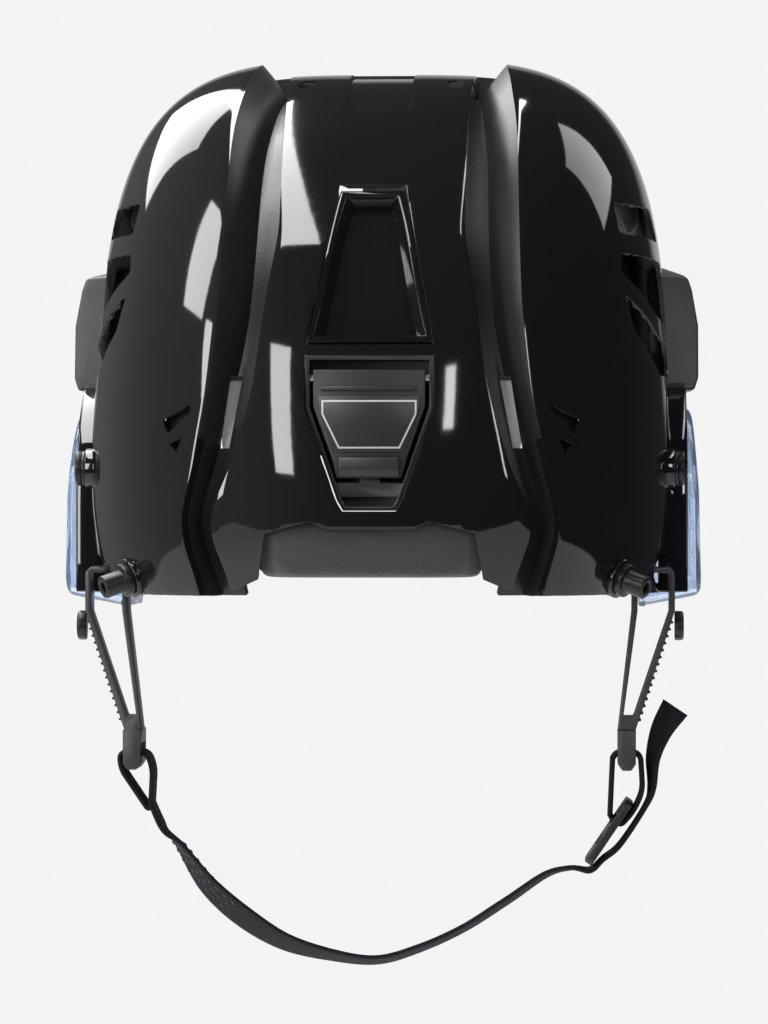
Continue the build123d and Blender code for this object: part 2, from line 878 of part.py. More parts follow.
scoop_angles = range(135, 160, 8)
scoop_halves = [
    scoop_top_half + (scoop_bottom_half - scoop_top_half) * i / (len(scoop_angles) - 1)
    for i in range(len(scoop_angles))
]
latch_opening = both_halves([
    (latch_top_half, latch_top),
    (latch_top_half, latch_shoulder),
    (latch_foot_half, latch_taper_end),
    (latch_bottom_half, latch_bottom),
])
nape_opening = both_halves([
    (nape_opening_half * nape_step_shares[0], nape_opening_top),
    (nape_opening_half * nape_step_shares[1], nape_opening_top + nape_rise),
    (nape_opening_half - nape_rise, nape_opening_top - nape_rise / 2),
    (nape_opening_half, band_bottom_middle),
    (nape_opening_half, -overrun),
])
band_edge = both_halves([
    (nape_opening_half - nape_rise, band_bottom_middle),
    (nape_opening_half + nape_rise * 3, band_bottom_side),
    (band_half_width + overrun, band_bottom_side),
    (band_half_width + overrun, -back_reach),
])

with BuildPart() as rear_shell:
    for angle in band_angles:
        outer_points, inner_points = band_section(angle)
        half = band_x(angle)
        side_depth = band_side_depth * at(angle, band_depth_shares)
        foot_radius = band_radius(half, angle) - side_depth
        inner_foot_radius = band_radius(half - band_wall, angle) - side_depth
        with BuildSketch(fan_plane(angle)):
            with BuildLine():
                Spline(*outer_points)
                Polyline(
                    outer_points[-1],
                    (half, foot_radius),
                    (half - band_wall, inner_foot_radius),
                    inner_points[-1],
                )
                Spline(*reversed(inner_points))
                Polyline(
                    inner_points[0],
                    (band_wall - half, inner_foot_radius),
                    (-half, foot_radius),
                    outer_points[0],
                )
            make_face()
    loft()
    add(fan_block(scoop_angles, scoop_halves, -overrun, overrun), mode=Mode.SUBTRACT)
    # Recess and vents at the crown
    recess_halves = [crown_recess_half for angle in crown_recess_angles]
    recess = fan_block(crown_recess_angles, recess_halves, -crown_recess_depth, crown_recess_depth)
    add(recess, mode=Mode.SUBTRACT)
    for side in (-1, 1):
        slot_point = side_point(
            crown_slot_angle, crown_slot_x * side, band_radius(crown_slot_x, crown_slot_angle)
        )
        with BuildSketch(
            Plane(
                origin=slot_point,
                x_dir=side_point(crown_slot_angle + 90, 0, 1),
                z_dir=side_point(crown_slot_angle, 0, 1),
            )
        ):
            SlotOverall(crown_slot_length, crown_slot_width)
        extrude(amount=band_wall * 2, both=True, mode=Mode.SUBTRACT)
    with BuildSketch(rear_plane):
        for outline in (latch_opening, nape_opening, band_edge):
            with BuildLine():
                Polyline(*outline, close=True)
            make_face()
    extrude(amount=overrun, both=True, mode=Mode.SUBTRACT)
save(rear_shell, "rear_shell")

with BuildPart() as scoop_panel:
    inside_angles = [
        scoop_angles[0] + scoop_margin_angle,
        *scoop_angles[1:-1],
        scoop_angles[-1] - scoop_margin_angle,
    ]
    inside_halves = [half - seat_gap for half in scoop_halves]
    add(fan_block(inside_angles, inside_halves, scoop_set_back, scoop_depth + scoop_floor))
    pocket_angles = [
        inside_angles[0] + scoop_margin_angle * 2,
        *inside_angles[1:-1],
        inside_angles[-1] - scoop_margin_angle * 2,
    ]
    pocket_halves = [half - scoop_rim for half in inside_halves]
    pocket = fan_block(pocket_angles, pocket_halves, 0, scoop_depth, scoop_bevel)
    add(pocket, mode=Mode.SUBTRACT)
    for level in (-1, 1):
        angle = scoop_angles[-2] + level * scoop_slot_angle
        with BuildSketch(
            Plane(
                origin=side_point(angle, 0, band_reach(angle)),
                x_dir=(1, 0, 0),
                z_dir=side_point(angle, 0, 1),
            )
        ):
            SlotOverall(scoop_slot_length, scoop_slot_width)
        extrude(amount=scoop_depth * 2, both=True, mode=Mode.SUBTRACT)
save(scoop_panel, "scoop_panel")


# Latch housing in the rear shell
def inset_outline(points, amount):
    """A closed outline drawn in by an amount on all sides."""
    with BuildSketch() as sketch:
        with BuildLine():
            Polyline(*points, close=True)
        make_face()
        offset(amount=-amount, kind=Kind.INTERSECTION)
    return sketch.sketch


def prong_places():
    """Middles of the two prongs, across and up."""
    return [(-prong_spacing / 2, prong_level), (prong_spacing / 2, prong_level)]


with BuildPart() as latch_housing:
    with BuildSketch(rear_plane.offset(-housing_depth)):
        add(inset_outline(latch_opening, seat_gap))
    extrude(amount=housing_depth - housing_set_back)
    with BuildSketch(rear_plane.offset(-housing_depth + housing_floor)):
        add(inset_outline(latch_opening, seat_gap + housing_rim))
    extrude(amount=housing_depth, mode=Mode.SUBTRACT)
    # The bar and tongue that the lever's foot closes over
    with BuildSketch(rear_plane.offset(-housing_depth)):
        with Locations((0, latch_bar_top - latch_bar_height / 2)):
            Rectangle(latch_foot_half * 2, latch_bar_height)
        with Locations((0, latch_bar_top + latch_tongue_rise / 2)):
            Rectangle(latch_tongue_half * 2, latch_tongue_rise)
    extrude(amount=housing_depth - latch_bar_depth)
    with BuildSketch(rear_plane.offset(-housing_depth)):
        with Locations(*prong_places()):
            Rectangle(prong_width + prong_play * 2, prong_height + prong_play * 2)
    extrude(amount=housing_floor * 2, mode=Mode.SUBTRACT)
    with BuildSketch(Plane.YZ.offset(-latch_top_half)):
        with Locations((latch_pin_depth - back_reach, latch_pin_level)):
            Circle(latch_pin_radius + pin_clearance)
    extrude(amount=latch_top_half * 2, mode=Mode.SUBTRACT)
save(latch_housing, "latch_housing")

with BuildPart() as latch_pin:
    pin_half = latch_top_half - seat_gap - housing_rim / 3
    with BuildSketch(Plane.YZ.offset(-pin_half)):
        with Locations((latch_pin_depth - back_reach, latch_pin_level)):
            Circle(latch_pin_radius)
    extrude(amount=pin_half * 2)
save(latch_pin, "latch_pin")

lever_outline = both_halves([
    (lever_top_half, lever_top),
    (lever_top_half, lever_shoulder),
    (lever_waist_half, lever_waist),
    (lever_foot_half, lever_foot),
])
with BuildPart() as latch_lever:
    with BuildSketch(rear_plane.offset(-lever_set_back)):
        with BuildLine():
            Polyline(*lever_outline, close=True)
        make_face()
    extrude(amount=-lever_thickness)
    with BuildSketch(Plane.YZ.offset(-lever_top_half + running_gap)):
        with Locations((latch_pin_depth - back_reach, latch_pin_level)):
            Circle(latch_knuckle_radius)
    extrude(amount=(lever_top_half - running_gap) * 2)
    with BuildSketch(Plane.YZ.offset(-lever_top_half)):
        with Locations((latch_pin_depth - back_reach, latch_pin_level)):
            Circle(latch_pin_radius + pin_clearance)
    extrude(amount=lever_top_half * 2, mode=Mode.SUBTRACT)
save(latch_lever, "latch_lever")

badge_outline = both_halves([
    (lever_top_half - badge_margin, lever_shoulder + badge_margin * 2),
    (lever_top_half - badge_margin, lever_shoulder),
    (lever_waist_half - badge_margin / 2, lever_waist + badge_margin / 2),
])
with BuildPart() as badge_plate:
    with BuildSketch(rear_plane.offset(-lever_set_back)):
        with BuildLine():
            Polyline(*badge_outline, close=True)
        make_face()
    extrude(amount=badge_thickness)
save(badge_plate, "badge_plate")

# Lock plate that the lever works, and the toothed prongs that it holds
with BuildPart() as lock_pawl:
    pawl_face = bridge_depth - seat_gap - pawl_thickness
    with BuildSketch(rear_plane.offset(-pawl_face)):
        with Locations((0, prong_level)):
            Rectangle(pawl_half_width * 2, prong_height + pawl_margin * 2)
        with Locations(*((x, y + pawl_travel / 2) for x, y in prong_places())):
            Rectangle(
                prong_width + prong_play * 2,
                prong_height + prong_play * 2 + pawl_travel,
                mode=Mode.SUBTRACT,
            )
    extrude(amount=-pawl_thickness)
save(lock_pawl, "lock_pawl")

with BuildPart() as adjuster_bridge:
    with BuildSketch(rear_plane.offset(-bridge_depth)):
        with Locations((0, (bridge_low + bridge_high) / 2)):
            RectangleRounded(bridge_half_width * 2, bridge_high - bridge_low, prong_width)
    extrude(amount=-bridge_thickness)
save(adjuster_bridge, "adjuster_bridge")

# Each prong is as long as the rear shell slides, with notches under it
prong_length = seat_gap + pawl_thickness + slide_travel + prong_spare
for word, (prong_x, prong_z) in zip(("left", "right"), prong_places()):
    with BuildPart() as prong:
        with BuildSketch(rear_plane.offset(-bridge_depth)):
            with Locations((prong_x, prong_z)):
                Rectangle(prong_width, prong_height)
        extrude(amount=prong_length)
        for notch in range(int(prong_length / notch_pitch) - 1):
            depth = bridge_depth - seat_gap - pawl_thickness - notch * notch_pitch
            with BuildSketch(rear_plane.offset(-depth)):
                with Locations((prong_x, prong_z - prong_height / 2)):
                    Rectangle(prong_width, notch_depth * 2)
            extrude(amount=notch_pitch / 2, mode=Mode.SUBTRACT)
    save(prong, f"{word}_lock_prong")


# Linings, each a crowned pad that follows the shell
def pad_section(angle, turns, reach, inset, thickness, fill):
    """Outline of a pad between two turns of the arch, crowned on the head's side."""
    outer = []
    inner = []
    for step in range(pad_steps + 1):
        turn = turns[0] + (turns[1] - turns[0]) * step / pad_steps
        crown = pad_edge_share + (1 - pad_edge_share) * math.sin(math.pi * step / pad_steps)
        outer.append(arch_point(turn, angle, reach, inset))
        inner.append(arch_point(turn, angle, reach, inset + thickness * crown * fill))
    return outer, inner


def pad_solid(angles, turns, reach, inset, thickness):
    """A pad that is full in its middle and drawn in towards its ends."""
    with BuildPart() as pad:
        for place, angle in enumerate(angles):
            swell = math.sin(math.pi * place / (len(angles) - 1))
            fill = pad_edge_share + (1 - pad_edge_share) * swell
            outer, inner = pad_section(angle, turns, reach(angle), inset, thickness, fill)
            with BuildSketch(fan_plane(angle)):
                with BuildLine():
                    Spline(*outer)
                    Line(outer[-1], inner[-1])
                    Spline(*reversed(inner))
                    Line(inner[0], outer[0])
                make_face()
        loft()
    return pad.part


def liner(name, *sizes):
    """A pad in a node of its own."""
    with BuildPart() as pad:
        add(pad_solid(*sizes))
    save(pad, name)


shell_inset = wall + liner_gap
insert_inset = shell_inset + seat_gap + insert_flange_thickness
band_inset = band_wall + liner_gap
liner("forehead_pad", range(22, 39, 4), (64, 116), dome_reach, insert_inset, forehead_pad_thickness)
liner("top_pad", range(74, 131, 14), (86.5, 93.5), band_reach, band_inset, top_pad_thickness)
for side, word in ((-1, "left"), (1, "right")):
    def sided(low, high):
        """Turns on the chosen side of the head."""
        return (low, high) if side > 0 else (180 - low, 180 - high)

    liner(f"{word}_temple_pad", range(26, 63, 9), sided(25, 55), dome_reach, insert_inset,
          temple_pad_thickness)
    liner(f"{word}_crown_pad", range(46, 77, 6), sided(62, 78), dome_reach, shell_inset,
          crown_pad_thickness)
    liner(f"{word}_side_pad", range(70, 103, 8), sided(26, 52), dome_reach, shell_inset,
          temple_pad_thickness)
    liner(f"{word}_rear_pad", range(146, 179, 8), sided(23, 47), dome_reach, shell_inset,
          rear_pad_thickness)

# The nape cushion shows its lower face in the opening of the rear shell
with BuildPart() as occipital_pad:
    add(pad_solid(nape_angles, (76, 104), band_reach, nape_set_back, nape_pad_thickness))
    add(pad_solid(cushion_angles, (72, 108), band_reach, band_inset + liner_gap, nape_pad_thickness))
    with BuildSketch(rear_plane):
        with Locations((0, band_bottom_middle - overrun)):
            Rectangle(nape_opening_half * 4, overrun * 2)
    extrude(amount=overrun, both=True, mode=Mode.SUBTRACT)
save(occipital_pad, "occipital_pad")


# Chin strap, hung in the slots behind the ears
strap_plane = Plane(origin=(0, slot_y, 0), x_dir=(1, 0, 0), z_dir=(0, -1, 0))


def mirrored(points, side):
    """Outline points of a strap piece on the chosen side."""
    return [(x * side, z) for x, z in points]


hanger_outer = [
    (hanger_middle - hanger_gap / 2, hanger_top),
    (hanger_middle + hanger_gap / 2, hanger_top),
    (hanger_middle + hanger_gap / 2 + hanger_thickness, hanger_top - hanger_thickness),
    (hanger_middle + hanger_gap / 2 + hanger_thickness, hanger_straight),
    (hanger_bottom_middle + hanger_bottom_half, hanger_end_top),
    (hanger_bottom_middle - hanger_bottom_half, hanger_end_top),
    (hanger_middle - hanger_gap / 2 - hanger_thickness, hanger_straight),
    (hanger_middle - hanger_gap / 2 - hanger_thickness, hanger_top - hanger_thickness),
]
hanger_inner = [
    (hanger_middle - hanger_gap / 2, hanger_top - hanger_thickness),
    (hanger_middle + hanger_gap / 2, hanger_top - hanger_thickness),
    (hanger_middle + hanger_gap / 2, hanger_straight),
    (hanger_bottom_middle + hanger_leg_meet, hanger_web_gap),
    (hanger_bottom_middle - hanger_leg_meet / 2, hanger_web_gap),
    (hanger_middle - hanger_gap / 2, hanger_straight),
]
hanger_end = [
    (hanger_bottom_middle + hanger_bottom_half, hanger_end_top),
    (hanger_bottom_middle + hanger_bottom_half, hanger_bottom + hanger_bar / 2),
    (hanger_bottom_middle + hanger_bottom_half / 2, hanger_bottom),
    (hanger_bottom_middle - hanger_bottom_half / 2, hanger_bottom),
    (hanger_bottom_middle - hanger_bottom_half, hanger_bottom + hanger_bar / 2),
    (hanger_bottom_middle - hanger_bottom_half, hanger_end_top),
]
# The folded webbing's middle line, as shares of its half width and its drop
loop_top = hanger_bottom + hanger_bar + webbing_thickness / 2 + running_gap
buckle_loop_shares = [
    (-1.0, 0), (1.0, 0), (1.16, -0.52), (0.52, -0.794), (-0.45, -1.0), (-1.22, -0.889),
]
stitched_loop_shares = [(-1.0, 0), (1.0, 0), (0.87, -0.235), (-1.26, -0.83), (-1.43, -0.235)]


def strap_loop(shares, side):
    """Webbing folded back on itself round a hanger's bar."""
    points = [(hanger_bottom_middle + x * loop_half, loop_top + z * loop_drop) for x, z in shares]
    with BuildPart() as loop:
        with BuildSketch(strap_plane.offset(-webbing_width / 2)):
            with BuildLine():
                FilletPolyline(*mirrored(points, side), radius=loop_radius, close=True)
            make_face()
            offset(amount=webbing_thickness / 2, mode=Mode.REPLACE)
            offset(amount=-webbing_thickness, mode=Mode.SUBTRACT)
        extrude(amount=webbing_width)
    return loop.part


def route_plane(points, index, twist):
    """Plane across the webbing's route, X along its width."""
    before = points[max(index - 1, 0)]
    after = points[min(index + 1, len(points) - 1)]
    along = (after - before).normalized()
    width = (Vector(0, 1, 0) - along * along.Y).normalized()
    width = width.rotate(Axis((0, 0, 0), along), twist)
    return Plane(origin=points[index], x_dir=width, z_dir=along)


def ribbon(points, twists):
    """Flat webbing along a route, turned about itself by the twists."""
    with BuildPart() as band:
        for index, twist in enumerate(twists):
            with BuildSketch(route_plane(points, index, twist)):
                Rectangle(webbing_width, webbing_thickness)
        loft(ruled=True)
    return band.part


# The route as shares of the strap's half span, drop and forward reach, from the left
# loop round the chin, under the buckle and up to the free end
route_shares = [
    (-1.055, 0.645, 0), (-1.0, 0.70, 0), (-0.93, 0.735, 0.1), (-0.80, 0.825, 0.3),
    (-0.64, 0.897, 0.55), (-0.46, 0.952, 0.8), (-0.25, 0.982, 0.95), (-0.03, 0.994, 1.0),
    (0.17, 0.968, 0.95), (0.38, 0.922, 0.8), (0.58, 0.860, 0.5), (0.76, 0.801, 0.2),
    (0.88, 0.783, 0), (0.968, 0.787, 0), (1.028, 0.763, 0), (1.108, 0.731, 0),
    (1.222, 0.651, 0), (1.252, 0.611, 0), (1.258, 0.548, 0), (1.297, 0.490, 0),
    (1.361, 0.441, 0),
]
route_twists = (0, 0, -12, -28, -32, -24, -10, 0, 6, 8, 6, 3, 0, 0, 0, 0, 0, 0, 0, 0, 0)
route = [
    Vector(x * strap_span, slot_y + y * strap_forward, -z * strap_drop)
    for x, z, y in route_shares
]

for side, word in ((-1, "left"), (1, "right")):
    with BuildPart() as hanger:
        with BuildSketch(strap_plane.offset(-hanger_width / 2)):
            for outline, mode in ((hanger_outer, Mode.ADD), (hanger_inner, Mode.SUBTRACT)):
                with BuildLine():
                    Polyline(*mirrored(outline, side), close=True)
                make_face(mode=mode)
        extrude(amount=hanger_width)
        # The wide end with the slot for the webbing
        with BuildSketch(strap_plane.offset(-hanger_end_width / 2)):
            with BuildLine():
                Polyline(*mirrored(hanger_end, side), close=True)
            make_face()
        extrude(amount=hanger_end_width)
        with BuildSketch(Plane.YZ):
            with Locations((slot_y, (hanger_eye_top + hanger_bottom + hanger_bar) / 2)):
                Rectangle(
                    webbing_width + running_gap * 2,
                    hanger_eye_top - hanger_bottom - hanger_bar,
                )
        extrude(amount=hanger_middle * 2, both=True, mode=Mode.SUBTRACT)
    save(hanger, f"{word}_hanger")

    with BuildPart() as snap:
        outer_face = hanger_middle + hanger_gap / 2 + hanger_thickness
        with BuildSketch(Plane.YZ.offset(outer_face)):
            with Locations((slot_y, snap_level)):
                Circle(snap_radius)
        extrude(amount=snap_height)
        fillet(snap.edges().group_by(Axis.X)[-1], snap_height / 3)
        if side < 0:
            mirror(about=Plane.YZ, mode=Mode.REPLACE)
    save(snap, f"{word}_hanger_snap")

with BuildPart() as chin_webbing:
    add(ribbon(route, route_twists))
    # The end that is folded back round the left hanger's eye and stitched
    add(strap_loop(stitched_loop_shares, -1))
save(chin_webbing, "chin_webbing")

with BuildPart() as buckle_loop:
    add(strap_loop(buckle_loop_shares, 1))
save(buckle_loop, "buckle_loop")

# Ladder-lock buckle: a plate with two slots and a thumb lip
buckle_turn = math.radians(buckle_slope)
buckle_along = Vector(math.cos(buckle_turn), 0, math.sin(buckle_turn))
buckle_plane = Plane(
    origin=(buckle_x, slot_y, buckle_height),
    x_dir=buckle_along,
    z_dir=buckle_along.cross(Vector(0, 1, 0)),
)
with BuildPart() as strap_buckle:
    with BuildSketch(buckle_plane.offset(-buckle_thickness / 2)):
        RectangleRounded(buckle_length, buckle_width, buckle_thickness)
        with GridLocations(buckle_length / 3, buckle_width, 2, 1):
            Rectangle(buckle_slot, webbing_width + running_gap * 2, mode=Mode.SUBTRACT)
    extrude(amount=buckle_thickness)
save(strap_buckle, "strap_buckle")
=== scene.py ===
import json
import math

import bpy
import numpy as np
from mathutils import Matrix, Vector

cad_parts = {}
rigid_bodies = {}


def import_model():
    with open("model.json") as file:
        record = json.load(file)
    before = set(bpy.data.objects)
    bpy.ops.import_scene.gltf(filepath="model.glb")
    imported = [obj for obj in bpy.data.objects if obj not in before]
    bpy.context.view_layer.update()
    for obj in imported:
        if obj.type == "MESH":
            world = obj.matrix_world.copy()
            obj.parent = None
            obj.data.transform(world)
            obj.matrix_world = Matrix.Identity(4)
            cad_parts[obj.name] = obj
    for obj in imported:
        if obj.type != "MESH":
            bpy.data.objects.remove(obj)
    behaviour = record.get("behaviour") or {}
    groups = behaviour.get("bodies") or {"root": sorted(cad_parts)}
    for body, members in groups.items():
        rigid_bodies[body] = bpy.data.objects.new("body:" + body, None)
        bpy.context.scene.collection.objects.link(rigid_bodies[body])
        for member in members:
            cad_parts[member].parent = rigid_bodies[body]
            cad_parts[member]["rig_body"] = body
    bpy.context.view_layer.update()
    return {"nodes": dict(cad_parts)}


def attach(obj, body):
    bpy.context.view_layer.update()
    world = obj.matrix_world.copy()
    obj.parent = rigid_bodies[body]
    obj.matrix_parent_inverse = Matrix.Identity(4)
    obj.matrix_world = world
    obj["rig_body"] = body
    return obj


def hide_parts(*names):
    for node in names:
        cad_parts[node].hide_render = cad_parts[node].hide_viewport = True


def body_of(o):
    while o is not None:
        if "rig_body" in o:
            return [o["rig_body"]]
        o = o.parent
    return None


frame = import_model()
nodes = frame["nodes"]

# An ice hockey helmet seen from behind. Sizes are millimetres until a vertex is placed.
MM = 0.001
sides = ((-1, "left"), (1, "right"))

# Camera first: behind the helmet, level with the ears and a little to its right
camera_data = bpy.data.cameras.new("camera")
camera_data.lens = 163.0
camera_data.sensor_width = 36.0
camera = bpy.data.objects.new("camera", camera_data)
bpy.context.scene.collection.objects.link(camera)
camera.location = (0.0663, -1.5986, -0.0041)
camera.rotation_euler = (math.radians(90), 0, math.radians(2.4))
bpy.context.scene.camera = camera


# The helmet's form: arches in a fan of planes through the ears
shell_half_width = 97.0
crown_reach = 146.0
back_reach = 132.0
brow_reach = 142.0
wall = 4.0
ridge_half_spread = 60.3
ridge_rise = 8.0
ridge_wall_spread = 9.9
channel_depth = 8.0
channel_lip = 4.0
band_half_width = 51.2
band_wall = 3.5
band_side_depth = 7.0
cap_end = 80
blend_start = 50
front_bulge = {-18: 0.92, 0: 0.965, 14: 1.0, 30: 1.027, 50: 1.026, 66: 1.011, 80: 1.0}
back_bulge = {
    58: 1.003, 80: 1.003, 97: 1.001, 112: 1.015, 127: 1.034, 140: 1.0415, 152: 1.034,
    164: 1.019, 174: 1.005, 184: 0.99, 193: 0.955, 205: 0.90, 228: 0.80,
}
side_widths = {-18: 1.0, 112: 1.0, 140: 1.01, 164: 1.025, 184: 1.03, 228: 1.03}
fullness = {
    -18: 2.8, 14: 2.7, 30: 2.8, 50: 3.1, 66: 3.5, 80: 3.8, 97: 3.8, 112: 3.6, 127: 3.3,
    140: 3.0, 152: 2.8, 164: 2.65, 174: 2.55, 184: 2.45, 193: 2.4, 205: 2.35, 228: 2.3,
}
ridge_spreads = {
    58: 0.697, 97: 0.697, 112: 0.73, 127: 0.771, 140: 0.784, 152: 0.80, 164: 0.849,
    174: 0.929, 184: 1.0, 193: 0.929, 205: 0.83, 228: 0.746,
}
ridge_walls = {
    58: 0.889, 97: 0.889, 112: 0.96, 127: 1.0, 140: 1.0, 152: 0.929, 164: 0.747,
    174: 0.626, 184: 0.515, 193: 0.535, 228: 0.535,
}
ridge_rises = {
    58: 0.64, 97: 0.64, 112: 0.69, 127: 0.75, 140: 0.75, 152: 0.81, 164: 0.875,
    174: 0.94, 184: 1.0, 193: 0.94, 205: 0.875, 228: 0.75,
}
band_depths = {56: 0.62, 86: 0.62, 104: 1.0}
band_widths = {
    58: 0.60, 80: 0.615, 97: 0.615, 112: 0.596, 127: 0.586, 140: 0.582, 152: 0.656,
    164: 0.732, 174: 0.855, 184: 1.0, 193: 0.898, 205: 0.82, 228: 0.742,
}


def at(angle, table):
    """The table's value at a fan angle, on a smooth line through its entries."""
    keys = sorted(table)
    if angle <= keys[0]:
        return table[keys[0]]
    if angle >= keys[-1]:
        return table[keys[-1]]
    place = max(i for i, key in enumerate(keys) if key <= angle)
    low, high = keys[place], keys[place + 1]
    span = high - low

    def slope(i):
        if i == 0 or i == len(keys) - 1:
            return 0
        before = (table[keys[i]] - table[keys[i - 1]]) / (keys[i] - keys[i - 1])
        after = (table[keys[i + 1]] - table[keys[i]]) / (keys[i + 1] - keys[i])
        return 0 if before * after <= 0 else 2 * before * after / (before + after)

    t = (angle - low) / span
    rise = table[high] - table[low]
    a = slope(place) * span
    b = slope(place + 1) * span
    return table[low] + a * t + (3 * rise - 2 * a - b) * t**2 + (a + b - 2 * rise) * t**3


def ramp(value, start, end):
    """How far the value is from start to end, 0 to 1."""
    return min(max((value - start) / (end - start), 0), 1)


def ellipse_reach(level, upright, angle):
    turn = math.radians(angle)
    return 1 / math.hypot(math.cos(turn) / level, math.sin(turn) / upright)


def side_width(angle):
    return shell_half_width * at(angle, side_widths)


def arch_radius(x, angle, reach, inset=0):
    power = at(angle, fullness)
    share = min(abs(x) / (side_width(angle) - inset), 1)
    return (reach - inset) * (1 - share**power) ** (1 / power)


def band_reach(angle):
    return ellipse_reach(back_reach, crown_reach, angle) * at(angle, back_bulge)


def band_radius(x, angle, inset=0):
    return arch_radius(x, angle, band_reach(angle), inset)


def ridge_x(angle):
    return ridge_half_spread * at(angle, ridge_spreads)


def band_x(angle):
    return band_half_width * at(angle, band_widths)


def ridge_radius(angle):
    return band_radius(ridge_x(angle), angle) + ridge_rise * at(angle, ridge_rises)


def flank_reach(angle):
    power = at(angle, fullness)
    share = ridge_x(angle) / side_width(angle)
    return ridge_radius(angle) / (1 - share**power) ** (1 / power)


def dome_reach(angle):
    if angle >= cap_end:
        return flank_reach(angle)
    upright = flank_reach(cap_end)
    full = ellipse_reach(brow_reach, upright, cap_end) * at(cap_end, front_bulge)
    share = ramp(angle, blend_start, cap_end)
    share = share * share * (3 - 2 * share)
    return ellipse_reach(brow_reach, upright, angle) * at(angle, front_bulge) * (
        1 + (upright / full - 1) * share)


def arch_point(turn, angle, reach, inset=0):
    power = at(angle, fullness)
    across = math.cos(math.radians(turn))
    x = (side_width(angle) - inset) * math.copysign(abs(across) ** (2 / power), across)
    return x, (reach - inset) * math.sin(math.radians(turn)) ** (2 / power)


def turn_at_radius(radius, angle, reach):
    power = at(angle, fullness)
    return math.degrees(math.asin((radius / reach) ** (power / 2)))


def turn_at_x(x, angle):
    power = at(angle, fullness)
    return math.degrees(math.acos((x / side_width(angle)) ** (power / 2)))


def place(angle, x, radius):
    """A point of the fan, in metres."""
    turn = math.radians(angle)
    return Vector((x, radius * math.cos(turn), radius * math.sin(turn))) * MM


# Hand tools: a primitive is added, its parts are picked by place, and operators shape it
def fresh(name):
    """Names the active piece and hands it over."""
    piece = bpy.context.active_object
    piece.name = name
    piece.data.name = name
    return piece


def primitive(add, name, **settings):
    bpy.ops.object.select_all(action="DESELECT")
    add(**settings)
    return fresh(name)


def alone(piece):
    bpy.ops.object.select_all(action="DESELECT")
    piece.select_set(True)
    bpy.context.view_layer.objects.active = piece


def pick_faces(piece, wanted):
    """Selects the faces whose middles are wanted, and nothing else."""
    alone(piece)
    mesh = piece.data
    middles = np.empty(len(mesh.polygons) * 3)
    mesh.polygons.foreach_get("center", middles)
    chosen = wanted(middles.reshape(-1, 3) / MM)
    bpy.ops.object.mode_set(mode="EDIT")
    bpy.ops.mesh.select_mode(type="FACE")
    bpy.ops.mesh.select_all(action="DESELECT")
    bpy.ops.object.mode_set(mode="OBJECT")
    mesh.polygons.foreach_set("select", chosen)
    bpy.ops.object.mode_set(mode="EDIT")
    return int(chosen.sum())


def edit_all(piece):
    """Edit mode on the piece, with all of it selected."""
    alone(piece)
    bpy.ops.object.mode_set(mode="EDIT")
    bpy.ops.mesh.select_all(action="SELECT")


def settle():
    bpy.ops.object.mode_set(mode="OBJECT")


flat_axes = {"side": (1, 2), "rear": (0, 2), "top": (0, 1)}


def flat(view, points):
    return points[:, flat_axes[view][0]], points[:, flat_axes[view][1]]


def back(view, point):
    """The flat point in the helmet's own directions."""
    full = [0, 0, 0]
    full[flat_axes[view][0]], full[flat_axes[view][1]] = point
    return Vector(full)


def inside(view, outline, points):
    """Which points lie in the outline."""
    across, up = flat(view, points)
    hit = np.zeros(len(points), bool)
    for (x1, y1), (x2, y2) in zip(outline, outline[1:] + outline[:1]):
        if y1 != y2:
            crosses = ((y1 > up) != (y2 > up)) & (
                across < x1 + (up - y1) * (x2 - x1) / (y2 - y1))
            hit ^= crosses
    return hit


def beside(view, start, end, points, reach):
    """Which points lie within reach of a line."""
    across, up = flat(view, points)
    ax, ay = end[0] - start[0], end[1] - start[1]
    share = ((across - start[0]) * ax + (up - start[1]) * ay) / (ax * ax + ay * ay)
    share = np.clip(share, 0, 1)
    return np.hypot(start[0] + share * ax - across, start[1] + share * ay - up) < reach


def score(piece, view, outline, near, reach=4.5):
    """Cuts the outline's lines into the faces near them."""
    first, second = (back(view, point) for point in ((1, 0), (0, 1)))
    through = first.cross(second)
    for start, end in zip(outline, outline[1:] + outline[:1]):
        if pick_faces(piece, lambda p: near(p) & beside(view, start, end, p, reach)):
            along = (back(view, end) - back(view, start)).normalized()
            bpy.ops.mesh.bisect(plane_co=back(view, start) * MM, plane_no=along.cross(through))
        settle()


def cut_out(piece, view, outline, near):
    """Opens the piece where the outline says."""
    score(piece, view, outline, near)
    if pick_faces(piece, lambda p: near(p) & inside(view, outline, p)):
        bpy.ops.mesh.delete(type="FACE")
    settle()


def sink(piece, view, outline, near, depth):
    """Presses the outline's field into the piece."""
    score(piece, view, outline, near)
    if pick_faces(piece, lambda p: near(p) & inside(view, outline, p)):
        bpy.ops.mesh.extrude_region_shrink_fatten(
            TRANSFORM_OT_shrink_fatten={"value": -depth * MM})
    settle()


def rounded(outline, radius, steps=4):
    """The outline with round corners."""
    out = []
    count = len(outline)
    for i in range(count):
        before, corner, after = (Vector(outline[i - 1]), Vector(outline[i]),
                                 Vector(outline[(i + 1) % count]))
        one, two = (before - corner), (after - corner)
        reach = min(radius, one.length * 0.45, two.length * 0.45)
        a, b = corner + one.normalized() * reach, corner + two.normalized() * reach
        for step in range(steps + 1):
            t = step / steps
            out.append(tuple(a * (1 - t) ** 2 + corner * 2 * t * (1 - t) + b * t * t))
    return out


def add_modifier(piece, kind, name, **settings):
    modifier = piece.modifiers.new(name, kind)
    for key, value in settings.items():
        setattr(modifier, key, value)
    return modifier


def apply_all(piece):
    alone(piece)
    for modifier in list(piece.modifiers):
        bpy.ops.object.modifier_apply(modifier=modifier.name)


